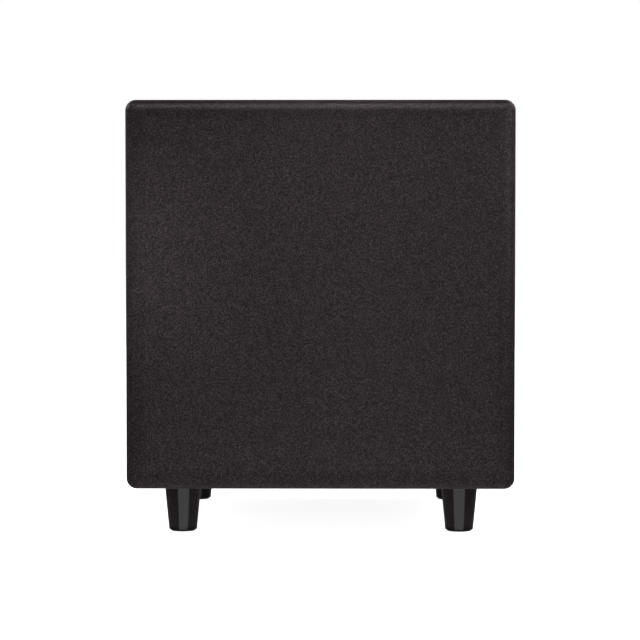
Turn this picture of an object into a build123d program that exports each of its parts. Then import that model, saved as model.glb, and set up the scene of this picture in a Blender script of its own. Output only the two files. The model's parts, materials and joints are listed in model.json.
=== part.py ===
"""Powered subwoofer: a sealed cube cabinet on four tapered feet, with a pull-off cloth grille,
a ten-inch driver behind it and a plate amplifier in the back.

Millimetres, +Z up. The front faces -Y. The origin is on the floor, under the middle of the object.
"""

import os
from math import cos, radians, sin

from build123d import *

# ---------------------------------------------------------------- driving dimensions
CABINET_WIDTH = 310.0
CABINET_HEIGHT = 310.0
CABINET_DEPTH = 310.0
CABINET_CORNER = 8.5  # radius of the four long edges
FOOT_HEIGHT = 40.0  # floor to the underside of the cabinet
GRILLE_REACH = 20.0  # how far the grille stands in front of the cabinet
REAR_REACH = 20.0  # how far the heatsink stands behind it

BOARD = 16.0  # panel thickness
BAFFLE = 19.0  # front baffle thickness
WRAP = 0.4  # vinyl skin over the panels
REBATE = 8.0  # how deep the baffle and the back sit into the panels

FOOT_SPACING = 226.0  # between foot centres, both ways

# ---------------------------------------------------------------- frame and planes
FRONT_Y = GRILLE_REACH - (GRILLE_REACH + CABINET_DEPTH + REAR_REACH) / 2
BACK_Y = FRONT_Y + CABINET_DEPTH
MIDDLE_Z = FOOT_HEIGHT + CABINET_HEIGHT / 2
DRIVER_AXIS = Axis((0, FRONT_Y, MIDDLE_Z), (0, 1, 0))


def driver_half(angle):
    """Half plane through the driver's axis: x is the radius, y the depth behind the cabinet's front."""
    c = cos(radians(angle))
    s = sin(radians(angle))
    return Plane(origin=(0, FRONT_Y, MIDDLE_Z), x_dir=(c, 0, s), z_dir=(-s, 0, c))


DRIVER_PROFILE = driver_half(0)


def front(depth):
    """Plane facing the listener, depth behind the cabinet's front; x is the object's +X, y is up."""
    return Plane(origin=(0, FRONT_Y + depth, MIDDLE_Z), x_dir=(1, 0, 0), z_dir=(0, -1, 0))


def rear(height):
    """Plane facing away at the back, height outside the cabinet; x is -X, y is up."""
    return Plane(origin=(0, BACK_Y + height, MIDDLE_Z), x_dir=(-1, 0, 0), z_dir=(0, 1, 0))


def floor(height):
    """Plane facing up, height above the floor."""
    return Plane.XY.offset(height)


def ring_points(count, radius, first=0.0):
    """Points evenly spaced on a circle."""
    angles = [radians(first + 360 * k / count) for k in range(count)]
    return [(radius * cos(a), radius * sin(a)) for a in angles]


finished = []


def keep(built, label):
    """Labels a finished piece and puts it on the list to be written."""
    built.part.label = label
    finished.append(built.part)


# ---------------------------------------------------------------- cabinet
PANEL_WIDTH = CABINET_WIDTH - 2 * WRAP
PANEL_HEIGHT = CABINET_HEIGHT - 2 * WRAP
INNER_WIDTH = PANEL_WIDTH - 2 * BOARD
INNER_HEIGHT = PANEL_HEIGHT - 2 * BOARD
REBATED_WIDTH = INNER_WIDTH + 2 * REBATE
REBATED_HEIGHT = INNER_HEIGHT + 2 * REBATE
PANEL_CORNER = CABINET_CORNER - WRAP
FEET_XY = [(x * FOOT_SPACING / 2, y * FOOT_SPACING / 2) for y in (-1, 1) for x in (-1, 1)]
STUD_RADIUS = 3.0
INSERT_RADIUS = 5.0
GLUE = 0.05  # clearance of a glued or pressed joint, per side

# Each panel is the quarter of the square sleeve between two mitres.
MITRE = CABINET_WIDTH  # reach of each mitre line, past the corner it cuts
mitre_sides = {
    "top_panel": [(0, 0), (MITRE, MITRE), (-MITRE, MITRE)],
    "bottom_panel": [(0, 0), (-MITRE, -MITRE), (MITRE, -MITRE)],
    "left_side_panel": [(0, 0), (-MITRE, MITRE), (-MITRE, -MITRE)],
    "right_side_panel": [(0, 0), (MITRE, -MITRE), (MITRE, MITRE)],
}
for panel_name, wedge in mitre_sides.items():
    with BuildPart() as panel:
        with BuildSketch(front(CABINET_DEPTH)):
            RectangleRounded(PANEL_WIDTH, PANEL_HEIGHT, PANEL_CORNER)
            Rectangle(INNER_WIDTH, INNER_HEIGHT, mode=Mode.SUBTRACT)
            Polygon(*wedge, align=None, mode=Mode.INTERSECT)
        extrude(amount=CABINET_DEPTH)
        for rebate_back, rebate_length in ((BAFFLE, BAFFLE), (CABINET_DEPTH, BOARD)):
            with BuildSketch(front(rebate_back)):
                Rectangle(REBATED_WIDTH, REBATED_HEIGHT)
            extrude(amount=rebate_length, mode=Mode.SUBTRACT)
        if panel_name == "bottom_panel":
            with BuildSketch(floor(FOOT_HEIGHT)):
                with Locations(*FEET_XY):
                    Circle(INSERT_RADIUS + GLUE)
            extrude(amount=BOARD + WRAP, mode=Mode.SUBTRACT)
    keep(panel, panel_name)

with BuildPart() as vinyl_wrap:
    with BuildSketch(front(CABINET_DEPTH)):
        RectangleRounded(CABINET_WIDTH, CABINET_HEIGHT, CABINET_CORNER)
        RectangleRounded(PANEL_WIDTH, PANEL_HEIGHT, PANEL_CORNER, mode=Mode.SUBTRACT)
    extrude(amount=CABINET_DEPTH)
    with BuildSketch(floor(FOOT_HEIGHT)):
        with Locations(*FEET_XY):
            Circle(INSERT_RADIUS + GLUE)
    extrude(amount=WRAP, mode=Mode.SUBTRACT)
keep(vinyl_wrap, "vinyl_wrap")

# Front baffle: driver rebate and cut-out, eight pilot holes, and a hole for each grille socket.
FLANGE_RADIUS = 131.0
FLANGE_FRONT = 1.5
FLANGE_BACK = 5.0
GASKET_BACK = 6.0
CUTOUT_RADIUS = 117.0
DRIVER_SCREWS = ring_points(8, 125.5, 22.5)
DRIVER_SCREW_RADIUS = 2.0
DRIVER_SCREW_LENGTH = 20.0
SOCKET_XY = [(x * 124.0, z * 124.0) for z in (-1, 1) for x in (-1, 1)]
SOCKET_RADIUS = 5.2
SOCKET_DEPTH = 14.0

with BuildPart() as front_baffle:
    with BuildSketch(front(BAFFLE)):
        Rectangle(REBATED_WIDTH, REBATED_HEIGHT)
        Circle(CUTOUT_RADIUS, mode=Mode.SUBTRACT)
    extrude(amount=BAFFLE)
    with BuildSketch(front(GASKET_BACK)):
        Circle(FLANGE_RADIUS + 0.5)
    extrude(amount=GASKET_BACK, mode=Mode.SUBTRACT)
    with BuildSketch(front(BAFFLE)):
        with Locations(*DRIVER_SCREWS):
            Circle(DRIVER_SCREW_RADIUS + GLUE)
    extrude(amount=BAFFLE, mode=Mode.SUBTRACT)
    with BuildSketch(front(SOCKET_DEPTH)):
        with Locations(*SOCKET_XY):
            Circle(SOCKET_RADIUS + GLUE)
    extrude(amount=SOCKET_DEPTH, mode=Mode.SUBTRACT)
keep(front_baffle, "front_baffle")

# Back panel: opening for the plate amplifier and its pilot holes.
PLATE_WIDTH = 204.0
PLATE_HEIGHT = 244.0
PLATE_CORNER = 6.0
PLATE_THICKNESS = 3.0
AMP_GASKET = 1.5
OPENING_WIDTH = 180.0
OPENING_HEIGHT = 220.0
PLATE_SCREW_INSET = 6.0
screw_x = PLATE_WIDTH / 2 - PLATE_SCREW_INSET
screw_y = PLATE_HEIGHT / 2 - PLATE_SCREW_INSET
PLATE_SCREWS = [(x * screw_x, y * screw_y) for x in (-1, 1) for y in (-1, -1 / 3, 1 / 3, 1)]
PLATE_SCREWS += [(0, -screw_y), (0, screw_y)]
PLATE_SCREW_RADIUS = 1.75
PLATE_SCREW_LENGTH = 12.0

with BuildPart() as back_panel:
    with BuildSketch(rear(-BOARD)):
        Rectangle(REBATED_WIDTH, REBATED_HEIGHT)
        RectangleRounded(OPENING_WIDTH, OPENING_HEIGHT, 4, mode=Mode.SUBTRACT)
        with Locations(*PLATE_SCREWS):
            Circle(PLATE_SCREW_RADIUS + GLUE, mode=Mode.SUBTRACT)
    extrude(amount=BOARD)
keep(back_panel, "back_panel")

# Window brace: one board with four windows, across the middle of the cabinet.
BRACE_FRONT = 148.0
BRACE_RIM = 18.0
BRACE_BAR = 20.0
window_width = (INNER_WIDTH - 2 * BRACE_RIM - BRACE_BAR) / 2
window_height = (INNER_HEIGHT - 2 * BRACE_RIM - BRACE_BAR) / 2
with BuildPart() as window_brace:
    with BuildSketch(front(BRACE_FRONT + BOARD)):
        Rectangle(INNER_WIDTH, INNER_HEIGHT)
        with GridLocations(window_width + BRACE_BAR, window_height + BRACE_BAR, 2, 2):
            RectangleRounded(window_width, window_height, 18, mode=Mode.SUBTRACT)
    extrude(amount=BOARD)
keep(window_brace, "window_brace")

# ---------------------------------------------------------------- feet
FOOT_TOP_RADIUS = 15.1
FOOT_TIP_RADIUS = 11.3
PAD_PROUD = 1.0  # how far the rubber pad stands below the foot
PAD_RADIUS = 9.8
PAD_HEIGHT = 4.0
STUD_IN_FOOT = 20.0
STUD_ABOVE = 15.0

for foot_name, foot_xy in zip(
    ("foot_front_left", "foot_front_right", "foot_rear_left", "foot_rear_right"), FEET_XY
):
    with BuildPart() as foot:
        with BuildSketch(floor(PAD_PROUD)):
            with Locations(foot_xy):
                Circle(FOOT_TIP_RADIUS)
        with BuildSketch(floor(FOOT_HEIGHT)):
            with Locations(foot_xy):
                Circle(FOOT_TOP_RADIUS)
        loft()
        tip_edge = foot.faces().sort_by(Axis.Z)[0].edges()
        fillet(tip_edge, radius=0.9)
        with BuildSketch(floor(PAD_PROUD)):
            with Locations(foot_xy):
                Circle(PAD_RADIUS + GLUE)
        extrude(amount=PAD_HEIGHT - PAD_PROUD, mode=Mode.SUBTRACT)
        with BuildSketch(floor(FOOT_HEIGHT - STUD_IN_FOOT)):
            with Locations(foot_xy):
                Circle(STUD_RADIUS)
        extrude(amount=STUD_IN_FOOT, mode=Mode.SUBTRACT)
    keep(foot, foot_name)

with BuildPart() as foot_pads:
    with BuildSketch(floor(0)):
        with Locations(*FEET_XY):
            Circle(PAD_RADIUS)
    extrude(amount=PAD_HEIGHT)
    fillet(foot_pads.edges().group_by(Axis.Z)[0], radius=0.4)
keep(foot_pads, "foot_pads")

with BuildPart() as foot_studs:
    with BuildSketch(floor(FOOT_HEIGHT - STUD_IN_FOOT)):
        with Locations(*FEET_XY):
            Circle(STUD_RADIUS)
    extrude(amount=STUD_IN_FOOT + STUD_ABOVE)
    chamfer(foot_studs.edges().group_by(Axis.Z)[-1], length=0.8)
keep(foot_studs, "foot_studs")

with BuildPart() as foot_inserts:
    with BuildSketch(floor(FOOT_HEIGHT)):
        with Locations(*FEET_XY):
            Circle(INSERT_RADIUS)
    extrude(amount=BOARD + WRAP)
    with BuildSketch(floor(FOOT_HEIGHT + BOARD + WRAP)):
        with Locations(*FEET_XY):
            Circle(9.5)
    extrude(amount=1.5)
    with BuildSketch(floor(FOOT_HEIGHT)):
        with Locations(*FEET_XY):
            Circle(STUD_RADIUS + GLUE)
    extrude(amount=BOARD + WRAP + 1.5, mode=Mode.SUBTRACT)
keep(foot_inserts, "foot_inserts")

# ---------------------------------------------------------------- grille
SHADOW_GAP = 1.0
CLOTH = 0.7
RIM_ROUND = 9.5  # radius of the cloth's front edge
RIM_WIDTH = 9.5
RIM_BEVEL = 2.2  # slope inside the rim, where the cloth dips before it spans the window
FIELD_DROP = 4.0  # how far the gussets lie behind the rim
HEM_WIDTH = 10.0
GUSSET = 56.0  # length of each corner gusset along the rim
PEG_RADIUS = 3.4
PEG_LENGTH = 11.0
FRAME_WIDTH = CABINET_WIDTH - 2 * CLOTH
FRAME_HEIGHT = CABINET_HEIGHT - 2 * CLOTH
FRAME_CORNER = CABINET_CORNER - CLOTH
GRILLE_BACK = -SHADOW_GAP  # depths in front of the cabinet are negative
FRAME_BACK = GRILLE_BACK - CLOTH  # the cloth's hem is folded over the frame's back
FRAME_FRONT = CLOTH - GRILLE_REACH
window_edge = FRAME_WIDTH / 2 - RIM_WIDTH
window_cut = window_edge - GUSSET
half_window = [
    (window_cut, window_edge),
    (window_edge, window_cut),
    (window_edge, -window_cut),
    (window_cut, -window_edge),
]
frame_window = half_window + [(-x, y) for x, y in reversed(half_window)]

with BuildPart() as grille_frame:
    with BuildSketch(front(FRAME_BACK)):
        RectangleRounded(FRAME_WIDTH, FRAME_HEIGHT, FRAME_CORNER)
    extrude(amount=FRAME_BACK - FRAME_FRONT)
    rim_edges = grille_frame.faces().sort_by(Axis.Y)[0].edges()
    fillet(rim_edges, radius=RIM_ROUND - CLOTH)
    with BuildSketch(front(FRAME_BACK)):
        Polygon(*frame_window, align=None)
    extrude(amount=FRAME_BACK - FRAME_FRONT, mode=Mode.SUBTRACT)
    with BuildSketch(front(FRAME_FRONT + FIELD_DROP)):
        Rectangle(2 * window_edge, 2 * window_edge)
    extrude(amount=FIELD_DROP, mode=Mode.SUBTRACT)
    with BuildSketch(front(FRAME_FRONT + RIM_BEVEL)):
        Rectangle(2 * window_edge, 2 * window_edge)
    extrude(amount=RIM_BEVEL, taper=-45, mode=Mode.SUBTRACT)
    # The hem of the cloth lies in a shallow step round the frame's back.
    with BuildSketch(front(FRAME_BACK + CLOTH)):
        RectangleRounded(2 * window_edge, 2 * window_edge, 2)
        Polygon(*frame_window, align=None, mode=Mode.SUBTRACT)
    extrude(amount=CLOTH)
    with BuildSketch(front(GRILLE_BACK + PEG_LENGTH + SHADOW_GAP)):
        with Locations(*SOCKET_XY):
            Circle(PEG_RADIUS)
    extrude(amount=PEG_LENGTH + SHADOW_GAP)
    peg_tips = grille_frame.edges().filter_by(GeomType.CIRCLE).group_by(Axis.Y)[-1]
    chamfer(peg_tips, length=1.2)
keep(grille_frame, "grille_frame")

with BuildPart() as grille_cloth:
    with BuildSketch(front(GRILLE_BACK)):
        RectangleRounded(CABINET_WIDTH, CABINET_HEIGHT, CABINET_CORNER)
    extrude(amount=GRILLE_REACH - SHADOW_GAP)
    fillet(grille_cloth.faces().sort_by(Axis.Y)[0].edges(), radius=RIM_ROUND)
    with BuildPart(mode=Mode.SUBTRACT):
        with BuildSketch(front(FRAME_BACK)):
            RectangleRounded(FRAME_WIDTH, FRAME_HEIGHT, FRAME_CORNER)
        core = extrude(amount=FRAME_BACK - FRAME_FRONT)
        fillet(core.faces().sort_by(Axis.Y)[0].edges(), radius=RIM_ROUND - CLOTH)
    with BuildSketch(front(GRILLE_BACK)):
        RectangleRounded(CABINET_WIDTH - 2 * HEM_WIDTH, CABINET_HEIGHT - 2 * HEM_WIDTH, 2)
    extrude(amount=CLOTH, mode=Mode.SUBTRACT)
keep(grille_cloth, "grille_cloth")

with BuildPart() as grille_sockets:
    with BuildSketch(front(SOCKET_DEPTH)):
        with Locations(*SOCKET_XY):
            Circle(SOCKET_RADIUS)
    extrude(amount=SOCKET_DEPTH)
    with BuildSketch(front(0)):
        with Locations(*SOCKET_XY):
            Circle(7.0)
    extrude(amount=SHADOW_GAP - 0.1)
    with BuildSketch(front(SOCKET_DEPTH - 1)):
        with Locations(*SOCKET_XY):
            Circle(PEG_RADIUS + 0.1)
    extrude(amount=SOCKET_DEPTH - 1 + SHADOW_GAP, mode=Mode.SUBTRACT)
keep(grille_sockets, "grille_sockets")

# ---------------------------------------------------------------- driver
SURROUND_OUTER = 120.0
ROLL_OUTER = 113.0
ROLL_INNER = 97.0
SURROUND_INNER = 90.0
RUBBER = 1.2
CONE_FRONT = 3.0
NECK_RADIUS = 25.75
NECK_DEPTH = 47.0
PAPER = 1.0
CAP_RADIUS = 44.0
CAP_EDGE_DEPTH = 32.3
CAP_RISE = 13.0
FORMER_INNER = 25.2
FORMER_OUTER = 25.7
FORMER_FRONT = 44.0
COIL_FRONT = 68.0
COIL_BACK = 102.0
COIL_OUTER = 26.9
SPIDER_OUTER = 70.0
SPIDER_DEPTH = 62.0
CUP_RADIUS = 69.0
BASKET_BACK = 80.0
GAP_RADIUS = 27.6
PLATE_RADIUS = 74.0
TOP_PLATE_BACK = 90.0
MAGNET_RADIUS = 78.0
MAGNET_BACK = 115.0
YOKE_BACK = 125.0
POLE_RADIUS = 24.8
VENT_RADIUS = 8.0
SHEET = 3.0  # basket wall

basket_outline = [
    (112, FLANGE_FRONT),
    (FLANGE_RADIUS, FLANGE_FRONT),
    (FLANGE_RADIUS, FLANGE_BACK),
    (115.5, FLANGE_BACK),
    (115.5, 13),
    (75, SPIDER_DEPTH + SHEET),
    (CUP_RADIUS, SPIDER_DEPTH + SHEET),
    (CUP_RADIUS, BASKET_BACK),
    (30, BASKET_BACK),
    (30, BASKET_BACK - SHEET),
    (CUP_RADIUS - SHEET, BASKET_BACK - SHEET),
    (CUP_RADIUS - SHEET, SPIDER_DEPTH + SHEET),
    (63, SPIDER_DEPTH + SHEET),
    (63, SPIDER_DEPTH),
    (71.5, SPIDER_DEPTH),
    (112, 11.5),
]
WINDOWS = 6
WINDOW_ARC = 42.0
window_outline = [(60, 20), (125, 20), (125, 56), (60, 56)]
with BuildPart() as driver_basket:
    with BuildSketch(DRIVER_PROFILE):
        Polygon(*basket_outline, align=None)
    revolve(axis=DRIVER_AXIS)
    for k in range(WINDOWS):
        with BuildSketch(driver_half(360 / WINDOWS * k - 90 + WINDOW_ARC / 2)):
            Polygon(*window_outline, align=None)
        revolve(axis=DRIVER_AXIS, revolution_arc=WINDOW_ARC, mode=Mode.SUBTRACT)
    with BuildSketch(front(FLANGE_BACK)):
        with Locations(*DRIVER_SCREWS):
            Circle(DRIVER_SCREW_RADIUS + 0.4)
    extrude(amount=FLANGE_BACK - FLANGE_FRONT, mode=Mode.SUBTRACT)
keep(driver_basket, "driver_basket")

with BuildPart() as driver_gasket:
    with BuildSketch(front(GASKET_BACK)):
        Circle(FLANGE_RADIUS)
        Circle(CUTOUT_RADIUS, mode=Mode.SUBTRACT)
        with Locations(*DRIVER_SCREWS):
            Circle(DRIVER_SCREW_RADIUS + 0.4, mode=Mode.SUBTRACT)
    extrude(amount=GASKET_BACK - FLANGE_BACK)
keep(driver_gasket, "driver_gasket")

# Half-roll surround: flat outer lip on the basket, a roll, and a flat inner lip on the cone's rim.
roll_middle = (ROLL_OUTER + ROLL_INNER) / 2
roll_radius = (ROLL_OUTER - ROLL_INNER) / 2
lip_front = FLANGE_FRONT - RUBBER
lip_depth = CONE_FRONT - RUBBER
with BuildPart() as surround:
    with BuildSketch(DRIVER_PROFILE):
        with BuildLine():
            Line((SURROUND_OUTER, FLANGE_FRONT), (SURROUND_OUTER, lip_front))
            Line((SURROUND_OUTER, lip_front), (ROLL_OUTER, lip_front))
            ThreePointArc(
                (ROLL_OUTER, lip_front), (roll_middle, lip_front - roll_radius), (ROLL_INNER, lip_front)
            )
            Line((ROLL_INNER, lip_front), (ROLL_INNER, lip_depth))
            Line((ROLL_INNER, lip_depth), (SURROUND_INNER, lip_depth))
            Line((SURROUND_INNER, lip_depth), (SURROUND_INNER, CONE_FRONT))
            Line((SURROUND_INNER, CONE_FRONT), (ROLL_INNER + RUBBER, CONE_FRONT))
            Line((ROLL_INNER + RUBBER, CONE_FRONT), (ROLL_INNER + RUBBER, lip_front))
            ThreePointArc(
                (ROLL_INNER + RUBBER, lip_front),
                (roll_middle, lip_front - roll_radius + RUBBER),
                (ROLL_OUTER - RUBBER, lip_front),
            )
            Line((ROLL_OUTER - RUBBER, lip_front), (ROLL_OUTER - RUBBER, FLANGE_FRONT))
            Line((ROLL_OUTER - RUBBER, FLANGE_FRONT), (SURROUND_OUTER, FLANGE_FRONT))
        make_face()
    revolve(axis=DRIVER_AXIS)
keep(surround, "surround")

# Cone: a flat rim for the surround, then a gently flared body down to the neck.
with BuildPart() as cone:
    with BuildSketch(DRIVER_PROFILE):
        with BuildLine():
            Line((ROLL_INNER, CONE_FRONT), (SURROUND_INNER, CONE_FRONT))
            ThreePointArc(
                (SURROUND_INNER, CONE_FRONT),
                (CAP_RADIUS, CAP_EDGE_DEPTH),
                (NECK_RADIUS, NECK_DEPTH),
            )
            Line((NECK_RADIUS, NECK_DEPTH), (NECK_RADIUS, NECK_DEPTH + 1.6))
            ThreePointArc(
                (NECK_RADIUS, NECK_DEPTH + 1.6),
                (CAP_RADIUS + 0.6, CAP_EDGE_DEPTH + 0.8),
                (SURROUND_INNER + 0.5, CONE_FRONT + PAPER),
            )
            Line((SURROUND_INNER + 0.5, CONE_FRONT + PAPER), (ROLL_INNER, CONE_FRONT + PAPER))
            Line((ROLL_INNER, CONE_FRONT + PAPER), (ROLL_INNER, CONE_FRONT))
        make_face()
    revolve(axis=DRIVER_AXIS)
keep(cone, "cone")

# Dust cap: a shallow dome whose edge stands on the cone.
cap_sphere = (CAP_RADIUS**2 + CAP_RISE**2) / (2 * CAP_RISE)
cap_top = CAP_EDGE_DEPTH - CAP_RISE
with BuildPart() as dust_cap:
    with BuildSketch(DRIVER_PROFILE):
        with Locations((0, cap_top + cap_sphere)):
            Circle(cap_sphere)
            Circle(cap_sphere - PAPER, mode=Mode.SUBTRACT)
        with Locations((0, cap_top)):
            Rectangle(CAP_RADIUS, CAP_RISE, align=(Align.MIN, Align.MIN), mode=Mode.INTERSECT)
    revolve(axis=DRIVER_AXIS)
keep(dust_cap, "dust_cap")

with BuildPart() as coil_former:
    with BuildSketch(front(COIL_BACK)):
        Circle(FORMER_OUTER)
        Circle(FORMER_INNER, mode=Mode.SUBTRACT)
    extrude(amount=COIL_BACK - FORMER_FRONT)
keep(coil_former, "coil_former")

with BuildPart() as voice_coil:
    with BuildSketch(front(COIL_BACK)):
        Circle(COIL_OUTER)
        Circle(FORMER_OUTER + 0.02, mode=Mode.SUBTRACT)
    extrude(amount=COIL_BACK - COIL_FRONT)
keep(voice_coil, "voice_coil")

# Spider: concentric corrugations between the neck of the former and the basket's ledge.
SPIDER_WAVES = 4
SPIDER_WAVE_HEIGHT = 2.2
SPIDER_SHEET = 0.8
spider_neck = FORMER_OUTER + 0.05
spider_lip = 62.0
wave = (spider_lip - spider_neck) / (2 * SPIDER_WAVES)
crests = [(spider_neck, SPIDER_DEPTH)]
for k in range(2 * SPIDER_WAVES):
    side = -1 if k % 2 else 1
    crests.append((spider_neck + (k + 0.5) * wave, SPIDER_DEPTH - side * SPIDER_WAVE_HEIGHT))
crests.append((spider_lip, SPIDER_DEPTH))
with BuildPart() as spider:
    with BuildSketch(DRIVER_PROFILE):
        with BuildLine():
            Spline(*crests)
            Line((spider_lip, SPIDER_DEPTH), (SPIDER_OUTER, SPIDER_DEPTH))
            Line((SPIDER_OUTER, SPIDER_DEPTH), (SPIDER_OUTER, SPIDER_DEPTH - SPIDER_SHEET))
            Line((SPIDER_OUTER, SPIDER_DEPTH - SPIDER_SHEET), (spider_lip, SPIDER_DEPTH - SPIDER_SHEET))
            Spline(*[(r, s - SPIDER_SHEET) for r, s in reversed(crests)])
            Line((spider_neck, SPIDER_DEPTH - SPIDER_SHEET), (spider_neck, SPIDER_DEPTH))
        make_face()
    revolve(axis=DRIVER_AXIS)
keep(spider, "spider")

with BuildPart() as top_plate:
    with BuildSketch(front(TOP_PLATE_BACK)):
        Circle(PLATE_RADIUS)
        Circle(GAP_RADIUS, mode=Mode.SUBTRACT)
    extrude(amount=TOP_PLATE_BACK - BASKET_BACK)
keep(top_plate, "top_plate")

with BuildPart() as magnet:
    with BuildSketch(front(MAGNET_BACK)):
        Circle(MAGNET_RADIUS)
        Circle(33, mode=Mode.SUBTRACT)
    extrude(amount=MAGNET_BACK - TOP_PLATE_BACK)
    chamfer(magnet.faces().filter_by(Axis.Y).edges().sort_by(SortBy.RADIUS)[-2:], length=1.5)
keep(magnet, "magnet")

with BuildPart() as pole_yoke:
    with BuildSketch(front(YOKE_BACK)):
        Circle(PLATE_RADIUS)
    extrude(amount=YOKE_BACK - MAGNET_BACK)
    with BuildSketch(front(MAGNET_BACK)):
        Circle(POLE_RADIUS)
    extrude(amount=MAGNET_BACK - BASKET_BACK)
    with BuildSketch(front(YOKE_BACK)):
        Circle(VENT_RADIUS)
    extrude(amount=YOKE_BACK - BASKET_BACK, mode=Mode.SUBTRACT)
keep(pole_yoke, "pole_yoke")

with BuildPart() as driver_screws:
    with BuildSketch(front(FLANGE_FRONT)):
        with Locations(*DRIVER_SCREWS):
            Circle(4.2)
    extrude(amount=2.6)
    fillet(driver_screws.edges().group_by(Axis.Y)[0], radius=1.4)
    with BuildSketch(front(FLANGE_FRONT + DRIVER_SCREW_LENGTH)):
        with Locations(*DRIVER_SCREWS):
            Circle(DRIVER_SCREW_RADIUS)
    extrude(amount=DRIVER_SCREW_LENGTH)
    with BuildSketch(front(FLANGE_FRONT - 1)):
        with Locations(*DRIVER_SCREWS):
            RegularPolygon(1.6, 6)
    extrude(amount=2, mode=Mode.SUBTRACT)
keep(driver_screws, "driver_screws")

# Tag strip: a board standing out from the lower side of the basket's cup, with two push tabs.
STRIP_FRONT = 68.0
STRIP_THICKNESS = 2.5
STRIP_EDGE = 91.0
TAB_X = 8.0
TAB_RADIUS = 86.0
TAB_LENGTH = 9.0
with BuildPart() as driver_terminals:
    with BuildSketch(front(STRIP_FRONT + STRIP_THICKNESS)):
        with Locations((0, -(CUP_RADIUS + STRIP_EDGE) / 2)):
            Rectangle(30, STRIP_EDGE - CUP_RADIUS + 6)
        with Locations((0, -STRIP_EDGE - 5)):
            Rectangle(30, 10, mode=Mode.SUBTRACT)
        Circle(CUP_RADIUS + GLUE, mode=Mode.SUBTRACT)
    extrude(amount=STRIP_THICKNESS)
    with BuildSketch(front(STRIP_FRONT + STRIP_THICKNESS + TAB_LENGTH)):
        with Locations((-TAB_X, -TAB_RADIUS), (TAB_X, -TAB_RADIUS)):
            Rectangle(0.8, 6.3)
    extrude(amount=TAB_LENGTH)
keep(driver_terminals, "driver_terminals")


def round_wire(path_points, bends, wire_radius):
    """A wire along straight runs with tangent bends, from (x, depth, up) points in the cabinet."""
    places = [(x, FRONT_Y + depth, MIDDLE_Z + up) for x, depth, up in path_points]
    with BuildPart() as wire:
        with BuildLine() as route:
            FilletPolyline(*places, radius=bends)
        with BuildSketch(Plane(origin=route.line @ 0, z_dir=route.line % 0)):
            Circle(wire_radius)
        sweep(path=route.line)
    return wire.part


# Braided leads from the tag strip, through the basket's lower window, to the back of the cone.
TINSEL_RADIUS = 0.8
with BuildPart() as tinsel_leads:
    for lead_x in (-TAB_X, TAB_X):
        lead_route = [(lead_x, 67.9, -88.5), (lead_x, 50, -88.5), (lead_x, 44, -62), (lead_x, 35.5, -50)]
        add(round_wire(lead_route, [5, 8], TINSEL_RADIUS))
keep(tinsel_leads, "tinsel_leads")

# ---------------------------------------------------------------- plate amplifier
PLATE_BACK = AMP_GASKET
PLATE_FACE = AMP_GASKET + PLATE_THICKNESS
CONTROL_ROW = 84.0  # height of the knobs and sockets above the cabinet's middle
LEVEL_X = -66.0
CROSSOVER_X = -22.0
SWITCH_X = 22.0
PHASE_Y = 95.0
MODE_Y = 73.0
RCA_XY = [(54.0, CONTROL_ROW), (72.0, CONTROL_ROW)]
LED_XY = (80.0, 103.0)
MAINS_ROW = -86.0
INLET_X = -58.0
ROCKER_X = -8.0
TRANSFORMER_XY = (38.0, -42.0)
SHAFT_RADIUS = 3.0
RUNNING = 0.05  # radial clearance of a shaft in its bore
COLLAR_RADIUS = 4.0
RCA_RING = 6.5
LED_RADIUS = 1.5
INLET_BODY = (27.0, 33.0)
ROCKER_BODY = (13.0, 19.0)
BOLT_RADIUS = 3.0
PHASE_SLOT = 8.2
MODE_SLOT = 10.2
SLIDER_SIZE = 3.6
SLOT_HEIGHT = 4.0

with BuildPart() as amp_plate:
    with BuildSketch(rear(PLATE_BACK)):
        RectangleRounded(PLATE_WIDTH, PLATE_HEIGHT, PLATE_CORNER)
        with Locations(*PLATE_SCREWS):
            Circle(PLATE_SCREW_RADIUS + GLUE, mode=Mode.SUBTRACT)
        with Locations((LEVEL_X, CONTROL_ROW), (CROSSOVER_X, CONTROL_ROW)):
            Circle(COLLAR_RADIUS + GLUE, mode=Mode.SUBTRACT)
        with Locations(*RCA_XY):
            Circle(RCA_RING + GLUE, mode=Mode.SUBTRACT)
        with Locations(LED_XY):
            Circle(LED_RADIUS + GLUE, mode=Mode.SUBTRACT)
        with Locations((SWITCH_X, PHASE_Y)):
            Rectangle(PHASE_SLOT, SLOT_HEIGHT, mode=Mode.SUBTRACT)
        with Locations((SWITCH_X, MODE_Y)):
            Rectangle(MODE_SLOT, SLOT_HEIGHT, mode=Mode.SUBTRACT)
        with Locations((INLET_X, MAINS_ROW)):
            Rectangle(INLET_BODY[0] + 0.2, INLET_BODY[1] + 0.2, mode=Mode.SUBTRACT)
        with Locations((ROCKER_X, MAINS_ROW)):
            Rectangle(ROCKER_BODY[0] + 0.2, ROCKER_BODY[1] + 0.2, mode=Mode.SUBTRACT)
        with Locations(TRANSFORMER_XY):
            Circle(BOLT_RADIUS + GLUE, mode=Mode.SUBTRACT)
    extrude(amount=PLATE_THICKNESS)
keep(amp_plate, "amp_plate")

with BuildPart() as amp_gasket:
    with BuildSketch(rear(0)):
        RectangleRounded(PLATE_WIDTH, PLATE_HEIGHT, PLATE_CORNER)
        RectangleRounded(OPENING_WIDTH, OPENING_HEIGHT, 4, mode=Mode.SUBTRACT)
        with Locations(*PLATE_SCREWS):
            Circle(PLATE_SCREW_RADIUS + GLUE, mode=Mode.SUBTRACT)
    extrude(amount=AMP_GASKET)
keep(amp_gasket, "amp_gasket")

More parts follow.
